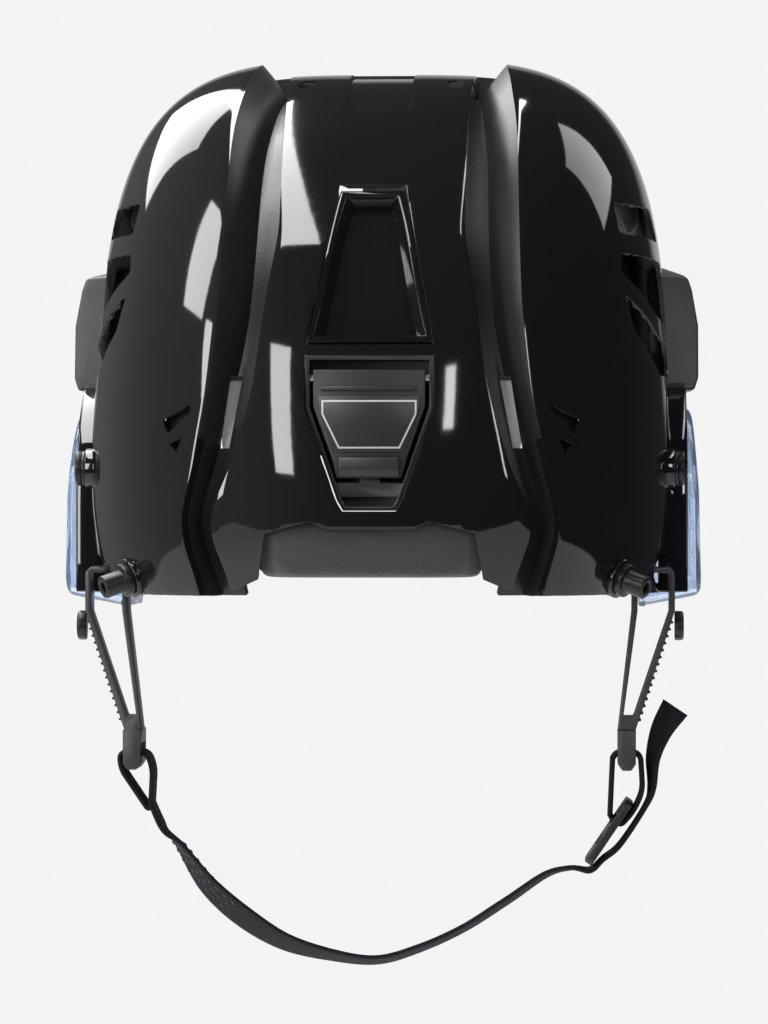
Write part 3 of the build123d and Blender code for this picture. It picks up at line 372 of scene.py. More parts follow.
def bevel(piece, width, angle, segments=3):
    """Rounds the edges that turn by more than the angle, after the modifiers before it."""
    add_modifier(piece, "BEVEL", "edges", width=width * MM, segments=segments,
                 limit_method="ANGLE", angle_limit=math.radians(angle))
    apply_all(piece)


def thicken(piece, thickness, offset=-1, **settings):
    add_modifier(piece, "SOLIDIFY", "wall", thickness=thickness * MM, offset=offset, **settings)


def weld(piece, distance):
    edit_all(piece)
    bpy.ops.mesh.remove_doubles(threshold=distance * MM)
    settle()


def face_out(piece):
    edit_all(piece)
    bpy.ops.mesh.normals_make_consistent(inside=False)
    settle()


def smooth(piece, angle):
    alone(piece)
    bpy.ops.object.shade_smooth_by_angle(angle=math.radians(angle))


def join(pieces, name):
    bpy.ops.object.select_all(action="DESELECT")
    for piece in pieces:
        piece.select_set(True)
    bpy.context.view_layer.objects.active = pieces[0]
    bpy.ops.object.join()
    return fresh(name)


def grid(name, columns, rows, point):
    """A grid laid over a surface, point(column share, row share) in metres."""
    piece = primitive(bpy.ops.mesh.primitive_grid_add, name, x_subdivisions=columns,
                      y_subdivisions=rows, size=2)
    for vertex in piece.data.vertices:
        across = (vertex.co.x + 1) / 2
        along = (vertex.co.y + 1) / 2
        vertex.co = point(across, along)
    return piece


# Front shell: forehead and crown in one sheet, and a flank with its ridge on each side
edge_radius = 27.0
flank_columns = 58
wall_columns = 4
floor_columns = 4
crown_columns = 15
shell_rows_front = 78
shell_rows_rear = 112
lower_angle = -21
rear_angle = 222


def flank_at(share, angle):
    """Place in a section: along the flank, down the ridge's inner wall, over the floor."""
    crest = ridge_x(angle)
    foot = crest - ridge_wall_spread * at(angle, ridge_walls)
    lip = band_x(angle) - channel_lip
    reach = flank_reach(angle)
    columns = flank_columns + wall_columns + floor_columns
    step = share * columns
    if step <= flank_columns:
        start = turn_at_radius(edge_radius, angle, reach)
        turn = start + (turn_at_x(crest, angle) - start) * step / flank_columns
        return arch_point(turn, angle, reach)
    foot_radius = band_radius(foot, angle) - channel_depth
    if step <= flank_columns + wall_columns:
        t = (step - flank_columns) / wall_columns
        bow = math.sin(math.pi * t) * 0.5
        return crest + (foot - crest) * t - bow, ridge_radius(angle) + (
            foot_radius - ridge_radius(angle)) * t
    t = (step - flank_columns - wall_columns) / floor_columns
    x = foot + (lip - foot) * t
    return x, band_radius(x, angle) - channel_depth


def front_sheet():
    def point(across, along):
        angle = lower_angle + (cap_end - lower_angle) * along
        reach = dome_reach(angle)
        crest = turn_at_x(ridge_x(cap_end), angle)
        start = turn_at_radius(edge_radius, angle, reach)
        half = flank_columns + crown_columns
        step = across * half * 2
        mirrored = step > half
        step = half * 2 - step if mirrored else step
        if step <= flank_columns:
            turn = start + (crest - start) * step / flank_columns
        else:
            turn = crest + (90 - crest) * (step - flank_columns) / crown_columns
        x, radius = arch_point(turn, angle, reach)
        return place(angle, -x if mirrored else x, radius)

    return grid("front_sheet", (flank_columns + crown_columns) * 2, shell_rows_front, point)


def flank_sheet(side):
    def point(across, along):
        angle = cap_end + (rear_angle - cap_end) * along
        x, radius = flank_at(across, angle)
        return place(angle, x * side, radius)

    columns = flank_columns + wall_columns + floor_columns
    return grid("flank_sheet", columns, shell_rows_rear, point)


front_shell = join([front_sheet(), flank_sheet(1), flank_sheet(-1)], "front_shell_moulding")
weld(front_shell, 0.02)
face_out(front_shell)

# Outlines of its openings: side view (y, z), rear view (x, z) and top view (x, y, half a
# length, lean)
rear_edge = -31.0
ear_radius = 38.0
lower_edge = [
    (-170, rear_edge), (-36, rear_edge), (-36, -12),
    *((-ear_radius * math.cos(math.radians(t)), ear_radius * math.sin(math.radians(t)))
      for t in range(0, 181, 12)),
    (36, -12), (38, -14), (60, -14), (82, 25), (95, 36), (108, 41), (190, 48), (190, -150),
    (-170, -150),
]
side_windows = (
    [(-77, 97.5), (-29.5, 98), (-26, 87), (-81, 87)],
    [(-84, 80.5), (-26, 80), (-17, 55), (-60, 61), (-88, 74)],
    [(-89, 67), (-60, 54.5), (-17, 48), (-17, 41), (-64, 41), (-86, 55)],
)
window_corner = 2.5
flank_vents = (
    [(-66.9, 25.3), (-57.6, 30.1), (-57.0, 27.2), (-65.0, 21.1)],
    [(-64.3, 17.6), (-59.8, 20.2), (-62.1, 14.7)],
    [(-41.0, 39.4), (-44.6, 39.4), (-48.3, 16.3), (-45.4, 16.3)],
)
slot_y = -49.0
slot_height = -23.1
slot_half_length = 11.0
slot_half_height = 5.0
top_vents = ((17, 98, 17, 0), (48, 56, 20, -0.25))
top_vent_half_width = 4.4


def round_turns(step):
    """Angles of a full turn, in radians."""
    return [math.radians(a) for a in range(0, 360, step)]


cut_out(front_shell, "side", lower_edge, lambda p: np.ones(len(p), bool))
for window in side_windows:
    cut_out(front_shell, "side", rounded(window, window_corner, 3), lambda p: abs(p[:, 0]) > 55)
for side in (-1, 1):
    def here(p):
        return (p[:, 0] * side > 0) & (p[:, 1] < -60)

    for outline in flank_vents:
        cut_out(front_shell, "rear", [(-x * side, z) for x, z in outline], here)
    slot = [(slot_y + slot_half_length * math.cos(t), slot_height + slot_half_height * math.sin(t))
            for t in round_turns(30)]
    cut_out(front_shell, "side", slot, lambda p: p[:, 0] * side > 60)
    for x, y, length, lean in top_vents:
        vent = [(side * (x + top_vent_half_width * math.cos(t) + lean * length * math.sin(t)),
                 y + length * math.sin(t) + top_vent_half_width * math.cos(t) * lean)
                for t in round_turns(20)]
        cut_out(front_shell, "top", vent, lambda p: p[:, 2] > 40)

thicken(front_shell, wall, use_even_offset=True, thickness_clamp=1.0)
bevel(front_shell, 0.9, 38)
smooth(front_shell, 32)
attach(front_shell, "helmet")
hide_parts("front_shell")


# Finishes
def effect(name, inputs, outputs):
    """An empty group of shader nodes with named sockets."""
    group = bpy.data.node_groups.new(name, "ShaderNodeTree")
    for label, value in inputs:
        socket = group.interface.new_socket(label, in_out="INPUT", socket_type="NodeSocketFloat")
        socket.default_value = value
    for label in outputs:
        group.interface.new_socket(label, in_out="OUTPUT", socket_type="NodeSocketFloat")
    start = group.nodes.new("NodeGroupInput")
    end = group.nodes.new("NodeGroupOutput")
    return group, start, end


def feed(tree, socket, value):
    """Sets a socket to a number or a tuple, or links another socket to it."""
    if isinstance(value, (int, float, tuple)):
        socket.default_value = value
    else:
        tree.links.new(value, socket)


def add_node(tree, kind, *values, **named):
    """A new node, its inputs fed in their order or by name."""
    node = tree.nodes.new("ShaderNode" + kind)
    for socket, value in zip(node.inputs, values):
        feed(tree, socket, value)
    for label, value in named.items():
        feed(tree, node.inputs[label.replace("_", " ")], value)
    return node


def maths(tree, kind, *values):
    node = add_node(tree, "Math", *values)
    node.operation = kind
    return node.outputs[0]


def coords(tree, kind="Object"):
    return add_node(tree, "TexCoord").outputs[kind]


def parts_of(tree, vector):
    """The three numbers of a vector socket."""
    return add_node(tree, "SeparateXYZ", vector).outputs


def spread(tree, value, low, high, start=0.3, end=0.7, kind="LINEAR"):
    """Maps start to end onto low to high."""
    node = add_node(tree, "MapRange", value, start, end, low, high)
    node.interpolation_type = kind
    return node.outputs["Result"]


def noise(tree, where, scale, detail=3.0):
    return add_node(tree, "TexNoise", Vector=where, Scale=scale, Detail=detail).outputs["Fac"]


def handled_group():
    """Uneven polish from handling: broad smudges with fine hairlines in them."""
    group, start, end = effect(
        "handled_polish", [("Smudge scale", 18.0), ("Low", 0.05), ("High", 0.12)], ["Roughness"])
    where = coords(group)
    broad = noise(group, where, start.outputs["Smudge scale"], 4.0)
    stretch = add_node(group, "Mapping", Vector=where, Scale=(40.0, 900.0, 260.0),
                       Rotation=(0.4, 0.3, 0.2))
    hair = noise(group, stretch.outputs[0], 1.0, 2.0)
    both = maths(group, "ADD", maths(group, "MULTIPLY", broad, 0.8),
                 maths(group, "MULTIPLY", hair, 0.2))
    polish = spread(group, both, start.outputs["Low"], start.outputs["High"])
    group.links.new(polish, end.inputs[0])
    return group


def grain_group():
    """The fine pebble that a textured mould leaves."""
    group, start, end = effect("mould_grain", [("Scale", 900.0)], ["Height", "Speck"])
    where = coords(group)
    scale = start.outputs["Scale"]
    cells = add_node(group, "TexVoronoi", Vector=where, Scale=scale)
    cells.feature = "SMOOTH_F1"
    fine = noise(group, where, maths(group, "MULTIPLY", scale, 1.7), 2.0)
    height = maths(group, "ADD", maths(group, "MULTIPLY", cells.outputs["Distance"], 0.7),
                   maths(group, "MULTIPLY", fine, 0.5))
    group.links.new(height, end.inputs["Height"])
    speck = noise(group, where, maths(group, "MULTIPLY", scale, 0.5), 1.0)
    group.links.new(speck, end.inputs["Speck"])
    return group


def weave_group():
    """Flat woven webbing: ribs across it, warp threads along it, and painted shade that darkens
    the grooves between the ribs.
    """
    group, start, end = effect("webbing_weave", [("Rib pitch", 0.0011), ("Thread pitch", 0.0009)],
                               ["Height", "Painted groove shade"])
    where = parts_of(group, add_node(group, "UVMap").outputs[0])
    warp, weft = (
        maths(group, "DIVIDE", maths(group, "MULTIPLY", spot, 2 * math.pi), start.outputs[pitch])
        for spot, pitch in ((where[0], "Thread pitch"), (where[1], "Rib pitch")))
    across = maths(group, "SINE", warp)
    shifted = maths(group, "ADD", weft, maths(group, "MULTIPLY", across, 1.2))
    along = maths(group, "SINE", shifted)
    height = maths(group, "MULTIPLY", maths(group, "ADD", along, 1.4),
                   maths(group, "ADD", across, 1.6))
    # Painted shade: darker in the grooves between the ribs, lighter on their crests
    groove_shade = maths(group, "MULTIPLY", maths(group, "ADD", along, 1.0), 0.5)
    group.links.new(height, end.inputs["Height"])
    group.links.new(groove_shade, end.inputs["Painted groove shade"])
    return group


handled = handled_group()
grain = grain_group()
weave = weave_group()


def finish(name, colour, roughness, **sockets):
    """A material with its plain values set on the shader's own sockets."""
    material = bpy.data.materials.new(name)
    material.use_nodes = True
    tree = material.node_tree
    shader = tree.nodes["Principled BSDF"]
    shader.inputs["Base Color"].default_value = (*colour, 1)
    shader.inputs["Roughness"].default_value = roughness
    for label, value in sockets.items():
        shader.inputs[label.replace("_", " ")].default_value = value
    return material, tree, shader


def place_group(tree, group, **values):
    node = tree.nodes.new("ShaderNodeGroup")
    node.node_tree = group
    for label, value in values.items():
        feed(tree, node.inputs[label.replace("_", " ")], value)
    return node


def emboss(tree, shader, height, depth, strength=1.0):
    bump = add_node(tree, "Bump", Strength=strength, Distance=depth, Height=height)
    tree.links.new(bump.outputs[0], shader.inputs["Normal"])


def two_tone(tree, shader, mask, first, second):
    mix = tree.nodes.new("ShaderNodeMix")
    mix.data_type = "RGBA"  # its colours are sockets 6 and 7
    mix.inputs[6].default_value = (*first, 1)
    mix.inputs[7].default_value = (*second, 1)
    tree.links.new(mask, mix.inputs[0])
    tree.links.new(mix.outputs[2], shader.inputs["Base Color"])


def worn(tree, shader, scale, low, high):
    """Lets handling vary the roughness."""
    polish = place_group(tree, handled, Smudge_scale=scale, Low=low, High=high)
    tree.links.new(polish.outputs[0], shader.inputs["Roughness"])


def glossy_shell():
    material, tree, shader = finish("gloss_black_shell", (0.006, 0.006, 0.007), 0.07)
    worn(tree, shader, 16.0, 0.03, 0.08)
    emboss(tree, shader, noise(tree, coords(tree), 120.0, 2.0), 0.00004, 0.35)
    return material


def satin(name, colour, roughness, scale, depth, **sockets):
    material, tree, shader = finish(name, colour, roughness, **sockets)
    pebble = place_group(tree, grain, Scale=scale)
    emboss(tree, shader, pebble.outputs["Height"], depth, 0.6)
    two_tone(tree, shader, pebble.outputs["Speck"], colour, tuple(c * 1.35 for c in colour))
    worn(tree, shader, 40.0, roughness - 0.05, roughness + 0.07)
    return material


def foam_lining():
    material, tree, shader = finish("closed_cell_foam", (0.045, 0.043, 0.041), 0.92,
                                    Sheen_Weight=0.25, Sheen_Roughness=0.6)
    where = coords(tree)
    cells = add_node(tree, "TexVoronoi", Vector=where, Scale=1500.0)
    emboss(tree, shader, cells.outputs["Distance"], 0.00025, 0.7)
    two_tone(tree, shader, noise(tree, where, 240.0, 5.0), (0.016, 0.015, 0.0145),
             (0.031, 0.030, 0.028))
    return material


def clear_plastic():
    material, tree, shader = finish("clear_blue_plastic", (0.72, 0.83, 0.98), 0.06,
                                    Transmission_Weight=0.92, IOR=1.46)
    rim = add_node(tree, "LayerWeight", Blend=0.35)
    two_tone(tree, shader, rim.outputs["Facing"], (0.80, 0.89, 1.0), (0.16, 0.36, 0.86))
    worn(tree, shader, 30.0, 0.04, 0.13)
    return material


def webbing_cloth():
    material, tree, shader = finish("woven_webbing", (0.011, 0.013, 0.018), 0.8, Sheen_Weight=0.02,
                                    Specular_IOR_Level=0.22, Sheen_Roughness=0.4)
    cloth = place_group(tree, weave, Rib_pitch=0.0013, Thread_pitch=0.00105)
    emboss(tree, shader, cloth.outputs["Height"], 0.00015, 0.5)
    # Painted shade: the weave's grooves get the darker colour, the rib crests the lighter one
    two_tone(tree, shader, cloth.outputs["Painted groove shade"], (0.004, 0.005, 0.007), (0.008, 0.009, 0.013))
    return material


def badge_finish():
    material, tree, shader = finish("latch_plate", (0.02, 0.02, 0.022), 0.35)
    # A thin silver border: how far a point is from the edge of a tapered outline
    top, foot, top_half, foot_half = 0.0311, 0.0163, 0.0148, 0.0096
    slope, half_line = 0.486, 0.00028
    across, _, height = parts_of(tree, coords(tree))
    across = maths(tree, "ABSOLUTE", across)
    taper = maths(tree, "MULTIPLY_ADD", height, slope, foot_half - foot * slope)
    reach = maths(tree, "SUBTRACT", height, top)
    for edge in (maths(tree, "SUBTRACT", foot, height),
                 maths(tree, "SUBTRACT", across, top_half),
                 maths(tree, "MULTIPLY", maths(tree, "SUBTRACT", across, taper), 0.9)):
        reach = maths(tree, "MAXIMUM", reach, edge)
    mask = maths(tree, "LESS_THAN", maths(tree, "ABSOLUTE", reach), half_line)
    two_tone(tree, shader, mask, (0.018, 0.018, 0.02), (0.42, 0.43, 0.44))
    return material


gloss = glossy_shell()
flare_satin = satin("flare_satin", (0.030, 0.031, 0.033), 0.36, 1300.0, 0.00005)
ridge_satin = satin("ridge_satin", (0.010, 0.010, 0.011), 0.34, 1300.0, 0.00008,
                    Specular_IOR_Level=0.36)
trim_black = satin("trim_black", (0.010, 0.010, 0.011), 0.40, 1500.0, 0.00005)
inner_black = satin("inner_black", (0.012, 0.012, 0.013), 0.55, 700.0, 0.0001)
foam = foam_lining()
clear_blue = clear_plastic()
hanger_grey = satin("hanger_grey", (0.024, 0.025, 0.027), 0.36, 1600.0, 0.00004)
bridge_grey = satin("bridge_grey", (0.52, 0.53, 0.55), 0.45, 1200.0, 0.00005)
webbing = webbing_cloth()
thread = satin("stitch_thread", (0.05, 0.055, 0.07), 0.7, 3000.0, 0.00005)
black_metal = satin("black_metal", (0.012, 0.012, 0.013), 0.3, 900.0, 0.00003, Metallic=0.35)
steel = satin("bright_steel", (0.55, 0.55, 0.56), 0.28, 900.0, 0.00003, Metallic=1.0)
latch_plate = badge_finish()


def coat(piece, *materials):
    piece.data.materials.clear()
    for material in materials:
        piece.data.materials.append(material)


def paint(piece, index, wanted):
    """Gives the faces that are wanted another of the piece's materials."""
    for face in piece.data.polygons:
        if wanted(face.center / MM, face.normal):
            face.material_index = index


def fan_angle(point):
    angle = math.degrees(math.atan2(point.z, point.y)) % 360
    return angle - 360 if angle > 300 else angle


def in_channel(point, _):
    angle = fan_angle(point)
    return angle > cap_end - 0.5 and abs(point.x) < ridge_x(angle) - 1.0


coat(front_shell, gloss, ridge_satin, inner_black)
paint(front_shell, 1, in_channel)
paint(front_shell, 2, lambda p, n: n.dot(p) < 0 and not in_channel(p, n))


# Rear shell: the band between the ridges
band_columns = 30
side_columns = 2
band_rows = 120
band_start = 56
band_end = 200


def band_sheet():
    def point(across, along):
        angle = band_start + (band_end - band_start) * along
        half = band_x(angle)
        columns = band_columns + 2 * side_columns
        step = across * columns - columns / 2
        beyond = max(abs(step) - band_columns / 2, 0)
        x = math.copysign(min(abs(step) / (band_columns / 2), 1) * half, step)
        depth = band_side_depth * at(angle, band_depths) * beyond / side_columns
        return place(angle, x, band_radius(x, angle) - depth)

    return grid("rear_shell_moulding", band_columns + 2 * side_columns, band_rows, point)


def mirrored_outline(points):
    return [*points, *((-x, y) for x, y in reversed(points))]


rear_shell = band_sheet()
face_out(rear_shell)
scoop_top = band_reach(135) * math.sin(math.radians(135))
scoop_low = band_reach(159) * math.sin(math.radians(159))
scoop_hole = mirrored_outline([(10.7, scoop_top), (20.5, scoop_low)])
latch_hole = mirrored_outline([(20.8, 46), (20.8, 29), (10.6, -0.5), (8.5, -4)])
nape_hole = mirrored_outline([(13.9, -9.6), (18.9, -7.1), (33.5, -10.9), (36, -24.6), (36, -60)])
band_foot = mirrored_outline([(33.5, -24.6), (43.5, -29), (95, -29), (95, -140)])
crown_vent_x = 25
crown_vent_y = -40.5
crown_vent_half_width = 3.0
crown_vent_half_length = 6.8
crown_panel = [(-10.5, -67), (10.5, -67), (11.5, 60), (-11.5, 60)]
crown_panel_depth = 1.5
for hole in (scoop_hole, latch_hole, nape_hole, band_foot):
    cut_out(rear_shell, "rear", hole, lambda p: p[:, 1] < -40)
for side, _ in sides:
    vent = [(side * (crown_vent_x + crown_vent_half_width * math.cos(t)),
             crown_vent_y + crown_vent_half_length * math.sin(t)) for t in round_turns(20)]
    cut_out(rear_shell, "top", vent, lambda p: p[:, 2] > 100)
sink(rear_shell, "top", crown_panel, lambda p: p[:, 2] > 95, crown_panel_depth)
thicken(rear_shell, band_wall, use_even_offset=True, thickness_clamp=1.0)
bevel(rear_shell, 0.7, 40)
smooth(rear_shell, 32)
coat(rear_shell, gloss, inner_black)
paint(rear_shell, 1, lambda p, n: n.dot(p) < 0)
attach(rear_shell, "rear")
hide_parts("rear_shell")


# Flares over the side vents, ear rims and the seats of screws and studs
def block(name, low_ring, high_ring, edge, segments=3):
    """A solid between two flat rings of points, with rounded edges."""
    piece = primitive(bpy.ops.mesh.primitive_cylinder_add, name, vertices=len(low_ring),
                      radius=1, depth=2)
    ends = [sorted((v for v in piece.data.vertices if v.co.z * level > 0),
                   key=lambda v: math.atan2(v.co.y, v.co.x)) for level in (-1, 1)]
    for ordered, ring in zip(ends, (low_ring, high_ring)):
        for vertex, point in zip(ordered, ring):
            vertex.co = Vector(point) * MM
    face_out(piece)
    if edge:
        bevel(piece, edge, 20, segments)
    smooth(piece, 40)
    return piece


def trim(piece, spot, way):
    """Cuts away what lies beyond a plane and closes the cut."""
    edit_all(piece)
    bpy.ops.mesh.bisect(plane_co=Vector(spot) * MM, plane_no=Vector(way).normalized(),
                        use_fill=True, clear_outer=True)
    settle()


def shrunk(ring, amount):
    middle = Vector((sum(p[0] for p in ring) / len(ring), sum(p[1] for p in ring) / len(ring)))
    out = []
    for p in ring:
        away = Vector(p) - middle
        out.append(tuple(middle + away * (1 - amount / away.length)))
    return out


def disc(origin, normal, radius, thickness, edge, name, around=48):
    """A round piece on a plane, with its outer rim rounded."""
    normal = Vector(normal).normalized()
    turn = normal.to_track_quat("Z", "Y").to_matrix()
    low, high = (
        [Vector(origin) + turn @ Vector((radius * math.cos(a), radius * math.sin(a), level))
         for a in (2 * math.pi * i / around for i in range(around))]
        for level in (0, thickness))
    return block(name, low, high, edge)


flare_outline = [(-8, 36), (60, 36), (72, 66), (60, 84), (-2, 78)]
flare_root = 90.0
flare_reach = 107.5
flare_cuts = (((105.5, 36), (1, -0.33)), ((107.5, 60), (1, 0.17)), ((105.5, 72), (1, 0.33)),
              ((103.5, 78), (0.6, 0.8)))
satin_foot = 38.5
satin_side = 94
rim_path = [(-ear_radius, z) for z in (-31, -20, -10)] + [
    (-ear_radius * math.cos(t), ear_radius * math.sin(t))
    for t in (math.pi * i / 40 for i in range(41))]
rim_root = 93
rim_depth = 10
rim_wall = 2.5
seat_root = 89.5
seat_radius = 6.6
stud_seat = 6.0
screw_seats = ((-52, 10.5, 98.4), (49, 2, 94.6))
stud_foot = Vector((80.51, -89.75, -25.94))
stud_way = Vector((0.838, -0.456, -0.300))
for side, word in sides:
    parts = []
    low = [(flare_root * side, y, z) for y, z in flare_outline]
    high = [(flare_reach * side, y, z) for y, z in shrunk(flare_outline, 4.0)]
    flare = block("flare", low, high, 0)
    for spot, way in flare_cuts:
        trim(flare, (spot[0] * side, 0, spot[1]), (way[0] * side, 0, way[1]))
    bevel(flare, 0.9, 12)
    smooth(flare, 30)
    parts.append(flare)

    def rim_point(across, along):
        y, z = rim_path[round(along * (len(rim_path) - 1))]
        return Vector(((rim_root + rim_depth * across) * side, y, z)) * MM

    rim = grid("ear_rim", 3, len(rim_path) - 1, rim_point)
    thicken(rim, rim_wall, side)
    bevel(rim, 0.7, 45)
    smooth(rim, 40)
    parts.append(rim)
    for y, z, seat in screw_seats:
        parts.append(disc((seat_root * side, y, z), (side, 0, 0), seat_radius, seat - seat_root,
                          0.5, "screw_seat"))
    foot = Vector((stud_foot.x * side, stud_foot.y, stud_foot.z))
    way = Vector((stud_way.x * side, stud_way.y, stud_way.z))
    parts.append(disc(foot - way * stud_seat, way, seat_radius, stud_seat, 0.5, "stud_seat"))
    fittings = join(parts, f"{word}_shell_fittings")
    coat(fittings, gloss, flare_satin)
    paint(fittings, 1, lambda p, n: p.z > satin_foot and abs(p.x) > satin_side)
    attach(fittings, "helmet")


# Dark discs behind the small vents of the rear flanks: they close the vents as the pads behind
# them do, and their black is painted shade
shade_disc_spot = (63, -121.5, 22)
shade_disc_way = (0.66, -0.75, 0.05)
shade_disc_radius = 9.8
shade_disc_thick = 2.5
shade_disc_sunk = 7.5
for side, word in sides:
    spot, way = (Vector((side * x, y, z)) for x, y, z in (shade_disc_spot, shade_disc_way))
    way.normalize()
    shade_disc = disc(spot - way * shade_disc_sunk, way, shade_disc_radius, shade_disc_thick, 0.3,
                 f"{word}_vent_shade_disc")
    # Painted shade: the black finish stands in for the shade inside the vents
    coat(shade_disc, inner_black)
    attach(shade_disc, "helmet")


# Hard fittings: a copy of each CAD solid, with rounded edges and a finish of its own
def copy_of(node, name):
    piece = nodes[node].copy()
    piece.data = nodes[node].data.copy()
    piece.parent = None
    bpy.context.scene.collection.objects.link(piece)
    alone(piece)
    piece.name = name
    return piece


def dressed(node, material, edge, segments):
    """A fresh piece in a hard solid's shape, with its edges rounded."""
    piece = copy_of(node, f"{node}_piece")
    edit_all(piece)
    bpy.ops.mesh.remove_doubles(threshold=0.004 * MM)
    bpy.ops.mesh.dissolve_limited(angle_limit=math.radians(1.5))
    settle()
    bevel(piece, edge, 28, segments)
    smooth(piece, 40)
    coat(piece, material)
    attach(piece, bodies_of[node])
    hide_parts(node)
    return piece


bodies_of = {node: body_of(nodes[node])[0] for node in nodes}

dressed("scoop_panel", gloss, 0.5, 3)
scoop_start, scoop_end = 136.3, 157.7
scoop_head_half, scoop_foot_half = 6.13, 14.87
scoop_depth = 6.4


def scoop_face(across, along):
    angle = scoop_start + (scoop_end - scoop_start) * along
    x = (2 * across - 1) * (scoop_head_half + (scoop_foot_half - scoop_head_half) * along)
    return place(angle, x, band_radius(x, angle) - scoop_depth)


scoop_floor = grid("scoop_floor", 12, 24, scoop_face)
face_out(scoop_floor)
thicken(scoop_floor, 1.0)
apply_all(scoop_floor)
smooth(scoop_floor, 35)
coat(scoop_floor, gloss)
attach(scoop_floor, "rear")
dressed("latch_housing", trim_black, 0.35, 2)
dressed("badge_plate", latch_plate, 0.25, 2)
dressed("strap_buckle", trim_black, 0.6, 3)
guard_lean_foot = 1.8
guard_lean_rise = 2.6
guard_heights = (-5, 30)
guard_depths = (98, 108)
for side, word in sides:
    guard = dressed(f"{word}_ear_guard", clear_blue, 0.6, 3)
    for vertex in guard.data.vertices:
        point = vertex.co / MM
        lean = guard_lean_foot + guard_lean_rise * ramp(point.z, *guard_heights)
        vertex.co.x -= side * lean * ramp(abs(point.x), *guard_depths) * MM
    for kind, edge, segments in (
        ("rear_side_screw", 0.3, 2), ("front_side_screw", 0.3, 2), ("rear_stud", 0.4, 3),
        ("hanger_snap", 0.3, 2), ("side_bracket", 0.2, 2),
    ):
        dressed(f"{word}_{kind}", black_metal, edge, segments)


# Latch lever: the plain lever, a rounded finger lip across its foot and a rib at its head
lip_face = -129.8


def bar(name, ring, half, edge):
    """A bar along X from a ring of (y, z) points."""
    return block(name, [(-half, y, z) for y, z in ring], [(half, y, z) for y, z in ring], edge)


dressed("latch_lever", trim_black, 0.4, 3)
lip_ring = [
    (lip_face - 2.3, 9.0), (lip_face - 2.7, 10.5), (lip_face - 1.4, 13.2),
    (lip_face + 0.5, 13.6), (lip_face + 0.5, 7.2), (lip_face - 1.2, 7.0),
]
rib_ring = [
    (lip_face - 0.9, 34.6), (lip_face - 0.9, 35.6), (lip_face + 0.4, 36.2), (lip_face + 0.4, 34.0),
]
for part in (bar("finger_lip", lip_ring, 9.6, 0.4), bar("head_rib", rib_ring, 15.2, 0.25)):
    coat(part, trim_black)
    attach(part, "latch")

for node, material in (
    ("latch_pin", steel),
    ("lock_pawl", inner_black),
    ("adjuster_bridge", bridge_grey),
    *((f"{word}_lock_prong", bridge_grey) for _, word in sides),
    *((f"{word}_{kind}", steel) for _, word in sides
      for kind in ("brow_insert", "temple_insert", "rear_side_nut", "front_side_nut", "stud_nut")),
):
    coat(nodes[node], material)
    smooth(nodes[node], 30)


# Linings: foam pads, softened at their rims and pressed in along their seams
seam_width = 1.6
seam_lane = 18.0
seam_swell = 0.5
seam_depth = 1.5


def read(piece, what):
    """Coordinates or normals of a piece's vertices, one row each."""
    values = np.empty(len(piece.data.vertices) * 3)
    piece.data.vertices.foreach_get(what, values)
    return values.reshape(-1, 3)


def cushion(node, voxel=2.6, seam_step=11.0):
    piece = copy_of(node, f"{node}_foam")
    add_modifier(piece, "REMESH", "skin", mode="VOXEL", voxel_size=voxel * MM)
    add_modifier(piece, "SMOOTH", "soften", factor=0.5, iterations=5)
    add_modifier(piece, "SUBSURF", "fine", levels=1, render_levels=1)
    apply_all(piece)
    spots = read(piece, "co") / MM
    angle = np.degrees(np.arctan2(spots[:, 2], spots[:, 1])) % 360
    angle = np.where(angle > 300, angle - 360, angle)
    arc = np.radians(1) * np.linalg.norm(spots, axis=1)
    gap = np.abs(angle % seam_step - seam_step / 2) * arc
    press = np.exp(-((seam_step * arc / 2 - gap) / seam_width) ** 2)
    if node == "forehead_pad":
        side_gap = np.abs((np.abs(spots[:, 0]) + seam_lane / 2) % seam_lane - seam_lane / 2)
        press = np.maximum(press, np.exp(-(side_gap / seam_width) ** 2))
    spots += read(piece, "normal") * (seam_swell - seam_depth * press)[:, None]
    piece.data.vertices.foreach_set("co", (spots * MM).ravel())
    piece.data.update()
    smooth(piece, 60)
    coat(piece, foam)
    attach(piece, bodies_of[node])
    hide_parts(node)


for node in ["forehead_pad", "top_pad", *(
    f"{word}_{kind}_pad" for _, word in sides for kind in ("temple", "crown", "side", "rear")
)]:
    cushion(node)
cushion("occipital_pad", 2.0, 60.0)


# Strap hangers, with serrations down the outer leg
hanger_top_middle = 91.2
hanger_gap = 10.4
hanger_thick = 2.0
hanger_straight = -37.0
hanger_end_top = -76.5
hanger_foot_middle = 82.4
hanger_foot_half = 3.0
tooth_count = 15
tooth_half = 4.9
for side, word in sides:
    dressed(f"{word}_hanger", hanger_grey, 0.45, 3)
    top = Vector((hanger_top_middle + hanger_gap / 2 + hanger_thick, 0, hanger_straight))
    foot = Vector((hanger_foot_middle + hanger_foot_half, 0, hanger_end_top))
    along = (foot - top).normalized()
    out = Vector((-along.z, 0, along.x))
    teeth = []
    for step in range(tooth_count):
        middle = top + (foot - top) * ((step + 1.6) / (tooth_count + 2))
        ring = [middle - along * 0.75 - out * 0.4, middle - along * 0.3 + out * 0.75,
                middle + along * 0.3 + out * 0.75, middle + along * 0.75 - out * 0.4]
        low, high = ([(p.x * side, slot_y + half, p.z) for p in ring]
                     for half in (-tooth_half, tooth_half))
        teeth.append(block("tooth", low, high, 0.18, 2))
    teeth = join(teeth, f"{word}_hanger_serrations")
    coat(teeth, hanger_grey)
    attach(teeth, "strap")


# Webbing: a woven ribbon along a route, with its edges rolled
webbing_width = 15.5
webbing_thick = 1.8


